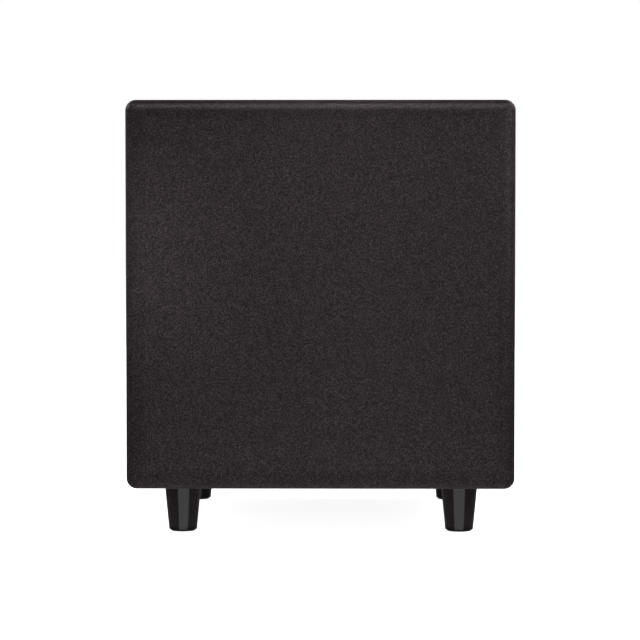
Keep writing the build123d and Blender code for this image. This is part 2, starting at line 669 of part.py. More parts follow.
with BuildPart() as amp_screws:
    with BuildSketch(rear(PLATE_FACE)):
        with Locations(*PLATE_SCREWS):
            Circle(3.4)
    extrude(amount=2.3)
    fillet(amp_screws.edges().group_by(Axis.Y)[-1], radius=1.2)
    with BuildSketch(rear(PLATE_FACE - PLATE_SCREW_LENGTH)):
        with Locations(*PLATE_SCREWS):
            Circle(PLATE_SCREW_RADIUS)
    extrude(amount=PLATE_SCREW_LENGTH)
    with BuildSketch(rear(PLATE_FACE + 1.1)):
        with Locations(*PLATE_SCREWS):
            Rectangle(4.0, 0.9)
            Rectangle(0.9, 4.0)
    extrude(amount=2, mode=Mode.SUBTRACT)
keep(amp_screws, "amp_screws")

# Heatsink: a base with upright fins, its outer two fins thicker.
HEATSINK_WIDTH = 156.0
HEATSINK_HEIGHT = 66.0
HEATSINK_Y = 20.0
HEATSINK_BASE = 3.0
FINS = 17
FIN = 1.8
fin_pitch = (HEATSINK_WIDTH - 2.6) / (FINS - 1)
with BuildPart() as heatsink:
    with BuildSketch(rear(PLATE_FACE)):
        with Locations((0, HEATSINK_Y)):
            Rectangle(HEATSINK_WIDTH, HEATSINK_HEIGHT)
    extrude(amount=HEATSINK_BASE)
    with BuildSketch(rear(PLATE_FACE + HEATSINK_BASE)):
        for k in range(FINS):
            width = 2.6 if k in (0, FINS - 1) else FIN
            with Locations((-fin_pitch * (FINS - 1) / 2 + k * fin_pitch, HEATSINK_Y)):
                Rectangle(width, HEATSINK_HEIGHT)
    extrude(amount=REAR_REACH - PLATE_FACE - HEATSINK_BASE)
keep(heatsink, "heatsink")

# Inner housing: an open box on the back of the plate, so that the amplifier is closed off from
# the air in the cabinet.
HOUSING_WIDTH = 178.0
HOUSING_HEIGHT = 218.0
HOUSING_REACH = 68.0  # how far it stands into the cabinet
HOUSING_WALL = 2.0
WIRE_RADIUS = 1.3
WIRE_U = (-70.0, -64.0)
WIRE_V = 35.0
with BuildPart() as amp_housing:
    with BuildSketch(rear(-HOUSING_REACH)):
        RectangleRounded(HOUSING_WIDTH, HOUSING_HEIGHT, 4)
    extrude(amount=HOUSING_REACH + PLATE_BACK)
    with BuildSketch(rear(HOUSING_WALL - HOUSING_REACH)):
        RectangleRounded(HOUSING_WIDTH - 2 * HOUSING_WALL, HOUSING_HEIGHT - 2 * HOUSING_WALL, 2)
    extrude(amount=HOUSING_REACH + PLATE_BACK - HOUSING_WALL, mode=Mode.SUBTRACT)
    with BuildSketch(rear(-HOUSING_REACH)):
        with Locations(*[(u, WIRE_V) for u in WIRE_U]):
            Circle(WIRE_RADIUS + 0.1)
    extrude(amount=HOUSING_WALL, mode=Mode.SUBTRACT)
keep(amp_housing, "amp_housing")

# Circuit board: the pots, slide switches and sockets stand on its outer side.
BOARD_INNER = -10.0
BOARD_THICKNESS = 1.6
BOARD_TOP = BOARD_INNER + BOARD_THICKNESS
with BuildPart() as amp_board:
    with BuildSketch(rear(BOARD_INNER)):
        with Locations((0, 64)):
            Rectangle(172, 84)
        with Locations(*[(u, WIRE_V) for u in WIRE_U]):
            Circle(0.7, mode=Mode.SUBTRACT)
    extrude(amount=BOARD_THICKNESS)
keep(amp_board, "amp_board")

with BuildPart() as capacitors:
    with BuildSketch(rear(BOARD_INNER - 38)):
        with Locations((-30, 52), (2, 52)):
            Circle(12.5)
    extrude(amount=38)
    fillet(capacitors.edges().group_by(Axis.Y)[0], radius=1.5)
keep(capacitors, "capacitors")

with BuildPart() as potentiometers:
    pot_places = [(LEVEL_X, CONTROL_ROW), (CROSSOVER_X, CONTROL_ROW)]
    with BuildSketch(rear(BOARD_TOP)):
        with Locations(*pot_places):
            RectangleRounded(16, 16, 1)
    extrude(amount=9.4)
    with BuildSketch(rear(BOARD_TOP)):
        with Locations(*pot_places):
            Circle(COLLAR_RADIUS)
    extrude(amount=PLATE_FACE + 1 - BOARD_TOP)
    with BuildSketch(rear(BOARD_TOP + 1.5)):
        with Locations(*pot_places):
            Circle(SHAFT_RADIUS + RUNNING)
    extrude(amount=20, mode=Mode.SUBTRACT)
keep(potentiometers, "potentiometers")

# Knobs: a fluted cap with a pointer groove, hollowed below to clear the collar, on a D shaft.
KNOB_RADIUS = 9.0
KNOB_TOP = 19.6
KNOB_BOTTOM = PLATE_FACE + 0.8
SHAFT_END = 16.0
SHAFT_FLAT = 1.6  # from the axis to the flat
for knob_name, shaft_name, knob_x in (
    ("level_knob", "level_shaft", LEVEL_X),
    ("crossover_knob", "crossover_shaft", CROSSOVER_X),
):
    with BuildPart() as shaft:
        with BuildSketch(rear(BOARD_TOP + 1.6)):
            with Locations((knob_x, CONTROL_ROW)):
                Circle(SHAFT_RADIUS)
        extrude(amount=SHAFT_END - BOARD_TOP - 1.6)
        with BuildSketch(rear(PLATE_FACE + 2.4)):
            with Locations((knob_x, CONTROL_ROW - SHAFT_FLAT - 2)):
                Rectangle(8, 4)
        extrude(amount=SHAFT_END, mode=Mode.SUBTRACT)
        chamfer(shaft.edges().group_by(Axis.Y)[-1], length=0.4)
    keep(shaft, shaft_name)
    with BuildPart() as knob:
        with BuildSketch(rear(KNOB_BOTTOM)):
            with Locations((knob_x, CONTROL_ROW)):
                Circle(KNOB_RADIUS)
        extrude(amount=KNOB_TOP - KNOB_BOTTOM, taper=1.5)
        fillet(knob.edges().group_by(Axis.Y)[-1], radius=0.8)
        with BuildSketch(rear(KNOB_BOTTOM + 1.2)):
            with Locations((knob_x, CONTROL_ROW)):
                with PolarLocations(KNOB_RADIUS + 0.2, 24):
                    Circle(0.7)
        extrude(amount=KNOB_TOP, mode=Mode.SUBTRACT)
        with BuildSketch(rear(KNOB_TOP - 0.5)):
            with Locations((knob_x, CONTROL_ROW + KNOB_RADIUS / 2 + 1)):
                Rectangle(1.2, KNOB_RADIUS)
        extrude(amount=2, mode=Mode.SUBTRACT)
        with BuildSketch(rear(KNOB_BOTTOM)):
            with Locations((knob_x, CONTROL_ROW)):
                Circle(COLLAR_RADIUS + 1)
        extrude(amount=2, mode=Mode.SUBTRACT)
        with BuildSketch(rear(KNOB_BOTTOM)):
            with Locations((knob_x, CONTROL_ROW)):
                Circle(SHAFT_RADIUS + GLUE)
            with Locations((knob_x, CONTROL_ROW - SHAFT_FLAT - GLUE - 2)):
                Rectangle(8, 4, mode=Mode.SUBTRACT)
        extrude(amount=SHAFT_END + 0.2 - KNOB_BOTTOM, mode=Mode.SUBTRACT)
    keep(knob, knob_name)

# Slide switches: a frame on the board, with a slider whose button stands through the plate.
FRAME_TOP = PLATE_BACK - 0.1
SLIDER_FLOOR = -2.5
PHASE_TRAVEL = 4.0
MODE_TRAVEL = 3.0
switch_places = {PHASE_Y: PHASE_TRAVEL / 2, MODE_Y: MODE_TRAVEL}
with BuildPart() as slide_switch_frames:
    for switch_y, swing in switch_places.items():
        with BuildSketch(rear(BOARD_TOP)):
            with Locations((SWITCH_X, switch_y)):
                Rectangle(18, 9)
        extrude(amount=FRAME_TOP - BOARD_TOP)
        with BuildSketch(rear(SLIDER_FLOOR)):
            with Locations((SWITCH_X, switch_y)):
                Rectangle(SLIDER_SIZE + 3 + 2 * swing + 0.4, 6.2)
        extrude(amount=FRAME_TOP - SLIDER_FLOOR, mode=Mode.SUBTRACT)
keep(slide_switch_frames, "slide_switch_frames")

for slider_name, slider_x, slider_y in (
    ("phase_slider", SWITCH_X - PHASE_TRAVEL / 2, PHASE_Y),
    ("mode_slider", SWITCH_X, MODE_Y),
):
    with BuildPart() as slider:
        with BuildSketch(rear(SLIDER_FLOOR + 0.1)):
            with Locations((slider_x, slider_y)):
                Rectangle(SLIDER_SIZE + 3, 6.0)
        extrude(amount=2.5)
        with BuildSketch(rear(SLIDER_FLOOR + 0.1)):
            with Locations((slider_x, slider_y)):
                Rectangle(SLIDER_SIZE, SLIDER_SIZE)
        extrude(amount=PLATE_FACE + 2.5 - SLIDER_FLOOR)
        chamfer(slider.edges().group_by(Axis.Y)[-1], length=0.4)
    keep(slider, slider_name)

# Phono sockets: an insulated body on the board, with a metal shell round its nose.
RCA_FACE = PLATE_FACE + 1.5
RCA_NOSE = RCA_FACE + 8.0
RCA_SHELL = 4.15
RCA_SHELL_INNER = 3.4
with BuildPart() as rca_insulators:
    with BuildSketch(rear(BOARD_TOP)):
        with Locations(*RCA_XY):
            RectangleRounded(13.5, 15, 1)
    extrude(amount=PLATE_BACK - BOARD_TOP - 0.1)
    with BuildSketch(rear(BOARD_TOP)):
        with Locations(*RCA_XY):
            Circle(RCA_RING)
    extrude(amount=RCA_FACE - BOARD_TOP)
    fillet(rca_insulators.edges().group_by(Axis.Y)[-1], radius=0.4)
    with BuildSketch(rear(RCA_FACE)):
        with Locations(*RCA_XY):
            Circle(RCA_SHELL_INNER - GLUE)
    extrude(amount=RCA_NOSE - RCA_FACE)
    with BuildSketch(rear(RCA_FACE - 7)):
        with Locations(*RCA_XY):
            Circle(1.75)
    extrude(amount=20, mode=Mode.SUBTRACT)
keep(rca_insulators, "rca_insulators")

with BuildPart() as rca_shells:
    with BuildSketch(rear(RCA_FACE)):
        with Locations(*RCA_XY):
            Circle(RCA_SHELL)
            Circle(RCA_SHELL_INNER, mode=Mode.SUBTRACT)
    extrude(amount=RCA_NOSE + 1 - RCA_FACE)
keep(rca_shells, "rca_shells")

with BuildPart() as status_led:
    with BuildSketch(rear(BOARD_TOP)):
        with Locations(LED_XY):
            Circle(LED_RADIUS)
    extrude(amount=PLATE_FACE + 1.4 - BOARD_TOP)
    fillet(status_led.edges().group_by(Axis.Y)[-1], radius=1.2)
    with BuildSketch(rear(BOARD_TOP)):
        with Locations(LED_XY):
            Circle(LED_RADIUS + 0.5)
    extrude(amount=1)
keep(status_led, "status_led")

# Mains inlet: a flanged body with the socket above and the fuse drawer's slot below.
INLET_FLANGE = 2.0
INLET_FACE = PLATE_FACE + INLET_FLANGE
INLET_BACK = -14.0
INLET_FLOOR = INLET_FACE - 16
SOCKET_Y = MAINS_ROW + 6.0
DRAWER_Y = MAINS_ROW - 11.0
socket_outline = [(-12, -8.4), (12, -8.4), (12, 3.6), (7.2, 8.4), (-7.2, 8.4), (-12, 3.6)]
PIN_XY = [(INLET_X - 7, SOCKET_Y - 2), (INLET_X + 7, SOCKET_Y - 2), (INLET_X, SOCKET_Y + 2)]
PIN_SIZE = (2.0, 4.0)
DRAWER_SIZE = (21.6, 7.0)
DRAWER_BACK = -12.0
with BuildPart() as power_inlet:
    with BuildSketch(rear(INLET_BACK)):
        with Locations((INLET_X, MAINS_ROW)):
            Rectangle(*INLET_BODY)
    extrude(amount=INLET_FACE - INLET_BACK)
    with BuildSketch(rear(PLATE_FACE)):
        with Locations((INLET_X, MAINS_ROW)):
            RectangleRounded(31, 37, 2)
    extrude(amount=INLET_FLANGE)
    with BuildSketch(rear(INLET_FLOOR)):
        with Locations((INLET_X, SOCKET_Y)):
            Polygon(*socket_outline, align=None)
    extrude(amount=16, mode=Mode.SUBTRACT)
    with BuildSketch(rear(INLET_BACK)):
        with Locations(*PIN_XY):
            Rectangle(PIN_SIZE[0] + 2 * GLUE, PIN_SIZE[1] + 2 * GLUE)
    extrude(amount=INLET_FLOOR - INLET_BACK, mode=Mode.SUBTRACT)
    with BuildSketch(rear(DRAWER_BACK - 0.2)):
        with Locations((INLET_X, DRAWER_Y)):
            Rectangle(DRAWER_SIZE[0] + 0.2, DRAWER_SIZE[1] + 0.2)
    extrude(amount=INLET_FACE - DRAWER_BACK + 0.2, mode=Mode.SUBTRACT)
keep(power_inlet, "power_inlet")

with BuildPart() as inlet_pins:
    with BuildSketch(rear(INLET_BACK - 7)):
        with Locations(*PIN_XY):
            Rectangle(*PIN_SIZE)
    extrude(amount=INLET_FACE - 3 - INLET_BACK + 7)
    chamfer(inlet_pins.edges().group_by(Axis.Y)[-1], length=0.6)
keep(inlet_pins, "inlet_pins")

# Fuse drawer: a lipped front on a tray, with the fuse lying across it.
FUSE_RADIUS = 2.5
FUSE_LENGTH = 20.0
FUSE_DEPTH = -8.0
DRAWER_LIP = 1.4
with BuildPart() as fuse_drawer:
    with BuildSketch(rear(DRAWER_BACK)):
        with Locations((INLET_X, DRAWER_Y)):
            Rectangle(*DRAWER_SIZE)
    extrude(amount=INLET_FACE - DRAWER_BACK)
    with BuildSketch(rear(INLET_FACE)):
        with Locations((INLET_X, DRAWER_Y)):
            RectangleRounded(24, 9, 1)
    extrude(amount=DRAWER_LIP)
    with BuildSketch(rear(INLET_FACE + 0.7)):
        with Locations((INLET_X, DRAWER_Y)):
            RectangleRounded(9, 2.4, 0.8)
    extrude(amount=DRAWER_LIP, mode=Mode.SUBTRACT)
    with BuildSketch(rear(FUSE_DEPTH - FUSE_RADIUS - 0.2)):
        with Locations((INLET_X, DRAWER_Y + 1)):
            Rectangle(FUSE_LENGTH + 0.4, 7.0)
    extrude(amount=2 * FUSE_RADIUS + 0.4, mode=Mode.SUBTRACT)
keep(fuse_drawer, "fuse_drawer")

fuse_middle = Plane(
    origin=(-INLET_X, BACK_Y + FUSE_DEPTH, MIDDLE_Z + DRAWER_Y + 0.3), x_dir=(0, 1, 0), z_dir=(1, 0, 0)
)
with BuildPart() as mains_fuse:
    with BuildSketch(fuse_middle):
        Circle(2.2)
    extrude(amount=FUSE_LENGTH / 2 - 5, both=True)
    for cap_side in (1, -1):
        with BuildSketch(fuse_middle.offset(cap_side * (FUSE_LENGTH / 2 - 5))):
            Circle(FUSE_RADIUS)
        extrude(amount=cap_side * 5)
keep(mains_fuse, "mains_fuse")

# Rocker switch: a bezelled housing, and a rocker that turns on two short trunnions.
BEZEL = 2.0
BEZEL_FACE = PLATE_FACE + BEZEL
APERTURE = (10.0, 17.0)
ROCKER_WIDTH = 9.3
ROCKER_RADIUS = 8.1
ROCKER_TILT = 9.0
PIVOT_HEIGHT = 3.5
VALLEY = 2.2  # from the pivot to the low middle of the rocker's face
TRUNNION_RADIUS = 1.2
TRUNNION = 0.9
with BuildPart() as power_switch_housing:
    with BuildSketch(rear(-14)):
        with Locations((ROCKER_X, MAINS_ROW)):
            Rectangle(*ROCKER_BODY)
    extrude(amount=14 + BEZEL_FACE)
    with BuildSketch(rear(PLATE_FACE)):
        with Locations((ROCKER_X, MAINS_ROW)):
            RectangleRounded(15, 21, 1)
    extrude(amount=BEZEL)
    fillet(power_switch_housing.faces().sort_by(Axis.Y)[-1].edges(), radius=0.6)
    with BuildSketch(rear(-4)):
        with Locations((ROCKER_X, MAINS_ROW)):
            Rectangle(*APERTURE)
    extrude(amount=4 + BEZEL_FACE, mode=Mode.SUBTRACT)
    trunnion_line = Plane(
        origin=(-ROCKER_X, BACK_Y + PIVOT_HEIGHT, MIDDLE_Z + MAINS_ROW), x_dir=(0, 1, 0), z_dir=(1, 0, 0)
    )
    with BuildSketch(trunnion_line):
        Circle(TRUNNION_RADIUS + RUNNING)
    extrude(amount=ROCKER_WIDTH / 2 + TRUNNION + 0.1, both=True, mode=Mode.SUBTRACT)
keep(power_switch_housing, "power_switch_housing")

# The rocker at rest is switched off: tilted, with its lower half pressed in.
tilt = radians(ROCKER_TILT)
face_rise = 12 * sin(tilt) / cos(tilt)
rocker_outline = [(-4, 12), (VALLEY + face_rise, 12), (VALLEY, 0), (VALLEY + face_rise, -12), (-4, -12)]
rocker_section = Plane(
    origin=trunnion_line.origin,
    x_dir=(0, cos(tilt), -sin(tilt)),
    z_dir=(1, 0, 0),
)
with BuildPart() as power_rocker:
    with BuildSketch(rocker_section):
        Circle(ROCKER_RADIUS)
        Polygon(*rocker_outline, align=None, mode=Mode.INTERSECT)
    extrude(amount=ROCKER_WIDTH / 2, both=True)
    with BuildSketch(trunnion_line):
        Circle(TRUNNION_RADIUS)
    extrude(amount=ROCKER_WIDTH / 2 + TRUNNION, both=True)
keep(power_rocker, "power_rocker")

# Toroidal transformer: bolted through its middle to the plate.
TOROID_RADIUS = 34.0
TOROID_HEIGHT = 32.0
TOROID_HOLE = 9.0
CLAMP_RADIUS = 20.0
toroid_place = Plane(
    origin=(-TRANSFORMER_XY[0], BACK_Y + PLATE_BACK, MIDDLE_Z + TRANSFORMER_XY[1]),
    x_dir=(1, 0, 0),
    z_dir=(0, -1, 0),
)
with BuildPart() as transformer:
    with BuildSketch(toroid_place):
        Circle(TOROID_RADIUS)
        Circle(TOROID_HOLE, mode=Mode.SUBTRACT)
    extrude(amount=TOROID_HEIGHT)
    toroid_circles = transformer.edges().filter_by(GeomType.CIRCLE).sort_by(SortBy.RADIUS)
    fillet(toroid_circles[-2:], radius=9)
    fillet(toroid_circles[:2], radius=5)
keep(transformer, "transformer")

with BuildPart() as transformer_clamp:
    with BuildSketch(toroid_place.offset(TOROID_HEIGHT)):
        Circle(CLAMP_RADIUS)
        Circle(BOLT_RADIUS + GLUE, mode=Mode.SUBTRACT)
    extrude(amount=1.5)
keep(transformer_clamp, "transformer_clamp")

with BuildPart() as transformer_bolt:
    with BuildSketch(toroid_place.offset(-PLATE_THICKNESS)):
        Circle(5.2)
    extrude(amount=-3)
    fillet(transformer_bolt.edges().group_by(Axis.Y)[-1], radius=1.6)
    with BuildSketch(toroid_place.offset(-PLATE_THICKNESS)):
        Circle(BOLT_RADIUS)
    extrude(amount=PLATE_THICKNESS + TOROID_HEIGHT + 8)
    with BuildSketch(toroid_place.offset(TOROID_HEIGHT + 1.5)):
        RegularPolygon(5.8, 6)
    extrude(amount=5)
    with BuildSketch(toroid_place.offset(-PLATE_THICKNESS - 1.4)):
        RegularPolygon(2.3, 6)
    extrude(amount=-3, mode=Mode.SUBTRACT)
keep(transformer_bolt, "transformer_bolt")

# Loudspeaker wires: from the board, through the housing and a lower window of the brace, to push-on
# sleeves on the driver's tabs.
SLEEVE_DEPTH = STRIP_FRONT + STRIP_THICKNESS + 0.6
SLEEVE_LENGTH = 12.0
with BuildPart() as speaker_wires:
    for tab_x, pass_x, board_u in ((TAB_X, 27.0, WIRE_U[0]), (-TAB_X, 20.0, WIRE_U[1])):
        wire_route = [
            (tab_x, SLEEVE_DEPTH + SLEEVE_LENGTH - 0.5, -TAB_RADIUS),
            (tab_x, SLEEVE_DEPTH + SLEEVE_LENGTH + 18, -TAB_RADIUS),
            (pass_x, BRACE_FRONT - 8, -90),
            (pass_x, BRACE_FRONT + 30, -90),
            (-board_u, BRACE_FRONT + 72, WIRE_V),
            (-board_u, CABINET_DEPTH + BOARD_INNER, WIRE_V),
        ]
        add(round_wire(wire_route, [16, 16, 16, 16], WIRE_RADIUS))
        with BuildSketch(front(SLEEVE_DEPTH + SLEEVE_LENGTH)):
            with Locations((tab_x, -TAB_RADIUS)):
                RectangleRounded(3.4, 8.4, 1)
        extrude(amount=SLEEVE_LENGTH)
        with BuildSketch(front(SLEEVE_DEPTH + TAB_LENGTH)):
            with Locations((tab_x, -TAB_RADIUS)):
                Rectangle(0.9, 6.4)
        extrude(amount=TAB_LENGTH, mode=Mode.SUBTRACT)
keep(speaker_wires, "speaker_wires")

# ---------------------------------------------------------------- write the files
os.makedirs("parts", exist_ok=True)
for piece in finished:
    export_step(piece, f"parts/{piece.label}.step")
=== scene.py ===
"""Powered subwoofer: the looks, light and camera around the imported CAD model.

The CAD holds every hard part. Here the grille's cloth, the rubber surround, the spider and the
tinsel leads are remade as soft pieces, white print is added, and every piece gets its material.

Named sizes are millimetres, turned into metres by MM. The front faces -Y. Depths are measured
behind the cabinet's front, heights outside its back, u to the right of someone looking at the
back, and v up from the driver's axis.
"""

import json
import math

import bmesh
import bpy
from mathutils import Matrix, Vector, noise
from mathutils.bvhtree import BVHTree


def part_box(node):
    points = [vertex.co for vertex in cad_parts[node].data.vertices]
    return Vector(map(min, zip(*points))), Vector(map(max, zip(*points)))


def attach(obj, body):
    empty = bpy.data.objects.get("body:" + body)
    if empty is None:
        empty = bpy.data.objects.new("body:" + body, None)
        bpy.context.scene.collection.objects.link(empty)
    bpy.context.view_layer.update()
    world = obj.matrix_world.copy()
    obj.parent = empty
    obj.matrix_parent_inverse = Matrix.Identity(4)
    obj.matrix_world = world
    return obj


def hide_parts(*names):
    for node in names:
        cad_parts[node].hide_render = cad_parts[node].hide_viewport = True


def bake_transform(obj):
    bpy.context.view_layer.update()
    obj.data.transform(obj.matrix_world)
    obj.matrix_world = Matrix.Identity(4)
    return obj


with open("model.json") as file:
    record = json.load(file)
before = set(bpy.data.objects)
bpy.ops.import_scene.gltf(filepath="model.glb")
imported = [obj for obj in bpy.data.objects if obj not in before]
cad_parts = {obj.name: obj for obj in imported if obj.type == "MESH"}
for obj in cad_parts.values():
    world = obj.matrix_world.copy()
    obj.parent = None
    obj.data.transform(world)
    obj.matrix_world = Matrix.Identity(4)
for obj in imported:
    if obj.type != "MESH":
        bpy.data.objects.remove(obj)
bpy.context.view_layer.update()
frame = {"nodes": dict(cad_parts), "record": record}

# ---------------------------------------------------------------- places taken from the frame
MM = 0.001
wrap_low, wrap_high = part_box("vinyl_wrap")
cloth_low, cloth_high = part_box("grille_cloth")
FRONT_Y = wrap_low.y
BACK_Y = wrap_high.y
MIDDLE_Z = (wrap_low.z + wrap_high.z) / 2
PLATE_FACE = (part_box("amp_plate")[1].y - BACK_Y) / MM
nodes = frame["nodes"]
collection = bpy.context.scene.collection


def front_point(x, v, depth):
    """Point in the shared frame, from mm: across, up from the driver's axis, behind the front."""
    return Vector((x * MM, FRONT_Y + depth * MM, MIDDLE_Z + v * MM))


def rear_point(u, v, height):
    """Point in the shared frame, from mm: rightwards seen from behind, up, outside the back."""
    return Vector((-u * MM, BACK_Y + height * MM, MIDDLE_Z + v * MM))


def rear_place(u, v, height):
    """Matrix that lays an XY drawing in metres on the back, facing away."""
    turn = Matrix(((-1, 0, 0), (0, 0, 1), (0, 1, 0)))
    return Matrix.Translation(rear_point(u, v, height)) @ turn.to_4x4()


# ---------------------------------------------------------------- camera
camera_data = bpy.data.cameras.new("camera")
camera_data.sensor_width = 36
camera_data.lens = 153.24
camera = bpy.data.objects.new("camera", camera_data)
camera.location = (0.022, -2.333, 0.284)
camera_aim = Vector((-0.0003, -0.165, 0.175))
camera.rotation_euler = (camera_aim - camera.location).to_track_quat("-Z", "Y").to_euler()
collection.objects.link(camera)
bpy.context.scene.camera = camera
bpy.context.scene.view_settings.view_transform = "Standard"


# ---------------------------------------------------------------- building materials
class Look:
    """A material being built: its even values go on the shader, its detail comes from nodes.

    Patterns lie in the shared frame, so they keep their real size and stay on the piece as it
    moves.
    """

    def __init__(self, slot, colour, roughness, metallic=0.0, specular=0.5, coat=0.0):
        self.slot = slot
        self.material = bpy.data.materials.new(slot)
        self.material.use_nodes = True
        self.tree = self.material.node_tree
        self.shader = self.tree.nodes["Principled BSDF"]
        self.colour = (*colour, 1.0)
        self.roughness = roughness
        self.even("Base Color", self.colour)
        self.even("Roughness", roughness)
        self.even("Metallic", metallic)
        self.even("Specular IOR Level", specular)
        self.even("Coat Weight", coat)
        self.place = self.add("ShaderNodeTexCoord").outputs["Object"]
        self.normal = None

    def even(self, socket, value):
        self.shader.inputs[socket].default_value = value

    def add(self, kind, inputs=None, **settings):
        """A new node. Each input is a plain value or another node's output."""
        node = self.tree.nodes.new(kind)
        for name, value in settings.items():
            setattr(node, name, value)
        for name, value in (inputs or {}).items():
            self.join(value, node.inputs[name])
        return node

    def join(self, value, socket):
        if isinstance(value, bpy.types.NodeSocket):
            self.tree.links.new(value, socket)
        else:
            socket.default_value = value

    def onto(self, socket, value):
        self.join(value, self.shader.inputs[socket])

    def maths(self, operation, a, b=0.0):
        return self.add("ShaderNodeMath", {0: a, 1: b}, operation=operation).outputs[0]

    def axes(self, vector=None):
        """The x, y and z of a vector, by default the place in metres."""
        parts = self.add("ShaderNodeSeparateXYZ", {0: vector or self.place})
        return parts.outputs[0], parts.outputs[1], parts.outputs[2]

    def joined(self, x, y, z):
        return self.add("ShaderNodeCombineXYZ", {0: x, 1: y, 2: z}).outputs[0]

    def stretched(self, sx, sy, sz, vector=None):
        """The place scaled along each axis."""
        inputs = {0: vector or self.place, 1: (sx, sy, sz)}
        return self.add("ShaderNodeVectorMath", inputs, operation="MULTIPLY").outputs[0]

    def noise(self, size, detail=2.0, rough=0.5, stretch=(1, 1, 1), vector=None, warp=0.0):
        """Noise from 0 to 1 with blobs about size mm across."""
        inputs = {
            "Vector": self.stretched(*stretch, vector=vector),
            "Scale": 1 / (size * MM),
            "Detail": detail,
            "Roughness": rough,
            "Distortion": warp,
        }
        return self.add("ShaderNodeTexNoise", inputs).outputs["Fac"]

    def cells(self, size, feature="F1"):
        """Distance within cells about size mm across."""
        inputs = {"Vector": self.place, "Scale": 1 / (size * MM)}
        return self.add("ShaderNodeTexVoronoi", inputs, feature=feature).outputs["Distance"]

    def span(self, value, low, high, to_low=0.0, to_high=1.0):
        """Carries low..high over to to_low..to_high, and holds the ends."""
        inputs = {0: value, 1: low, 2: high, 3: to_low, 4: to_high}
        return self.add("ShaderNodeMapRange", inputs).outputs[0]

    def waves(self, value, pitch):
        """Cosine from 0 to 1 along a length in metres, with a pitch in mm."""
        turned = self.maths("MULTIPLY", value, 2 * math.pi / (pitch * MM))
        return self.span(self.maths("COSINE", turned), -1, 1)

    def between(self, factor, a, b):
        """Mix of two colours."""
        node = self.add("ShaderNodeMix", data_type="RGBA")
        self.join(factor, node.inputs[0])
        self.join(a, node.inputs[6])
        self.join(b, node.inputs[7])
        return node.outputs[2]

    def shade(self, factor, amount, colour=None):
        """The colour made up to amount lighter or darker as factor goes from 0 to 1."""
        gain = self.span(factor, 0, 1, 1 - amount, 1 + amount)
        inputs = {0: colour or self.colour[:3], "Scale": gain}
        return self.add("ShaderNodeVectorMath", inputs, operation="SCALE").outputs[0]

    def times(self, value, factor):
        return self.maths("MULTIPLY", value, factor)

    def mottled(self, size, amount, spread):
        """Soft colour blotches, and a little change of gloss with them."""
        blotches = self.span(self.noise(size, detail=4), 0.3, 0.7)
        low, high = self.roughness - spread, self.roughness + spread
        self.onto("Base Color", self.shade(blotches, amount))
        self.onto("Roughness", self.span(blotches, 0, 1, low, high))

    def bump(self, height, depth):
        """Relief from a height of 0 to 1, depth mm deep. Later calls add to earlier ones."""
        inputs = {"Height": height, "Distance": depth * MM, "Strength": 1.0}
        if self.normal:
            inputs["Normal"] = self.normal
        self.normal = self.add("ShaderNodeBump", inputs).outputs[0]
        self.onto("Normal", self.normal)


def rgb(r, g, b):
    return (r, g, b, 1.0)


# ---------------------------------------------------------------- cloth and soft materials
WALE = 0.76
COURSE = 0.68
COLUMN_DRIFT = 0.25
RIM_SHADOW = 143.5


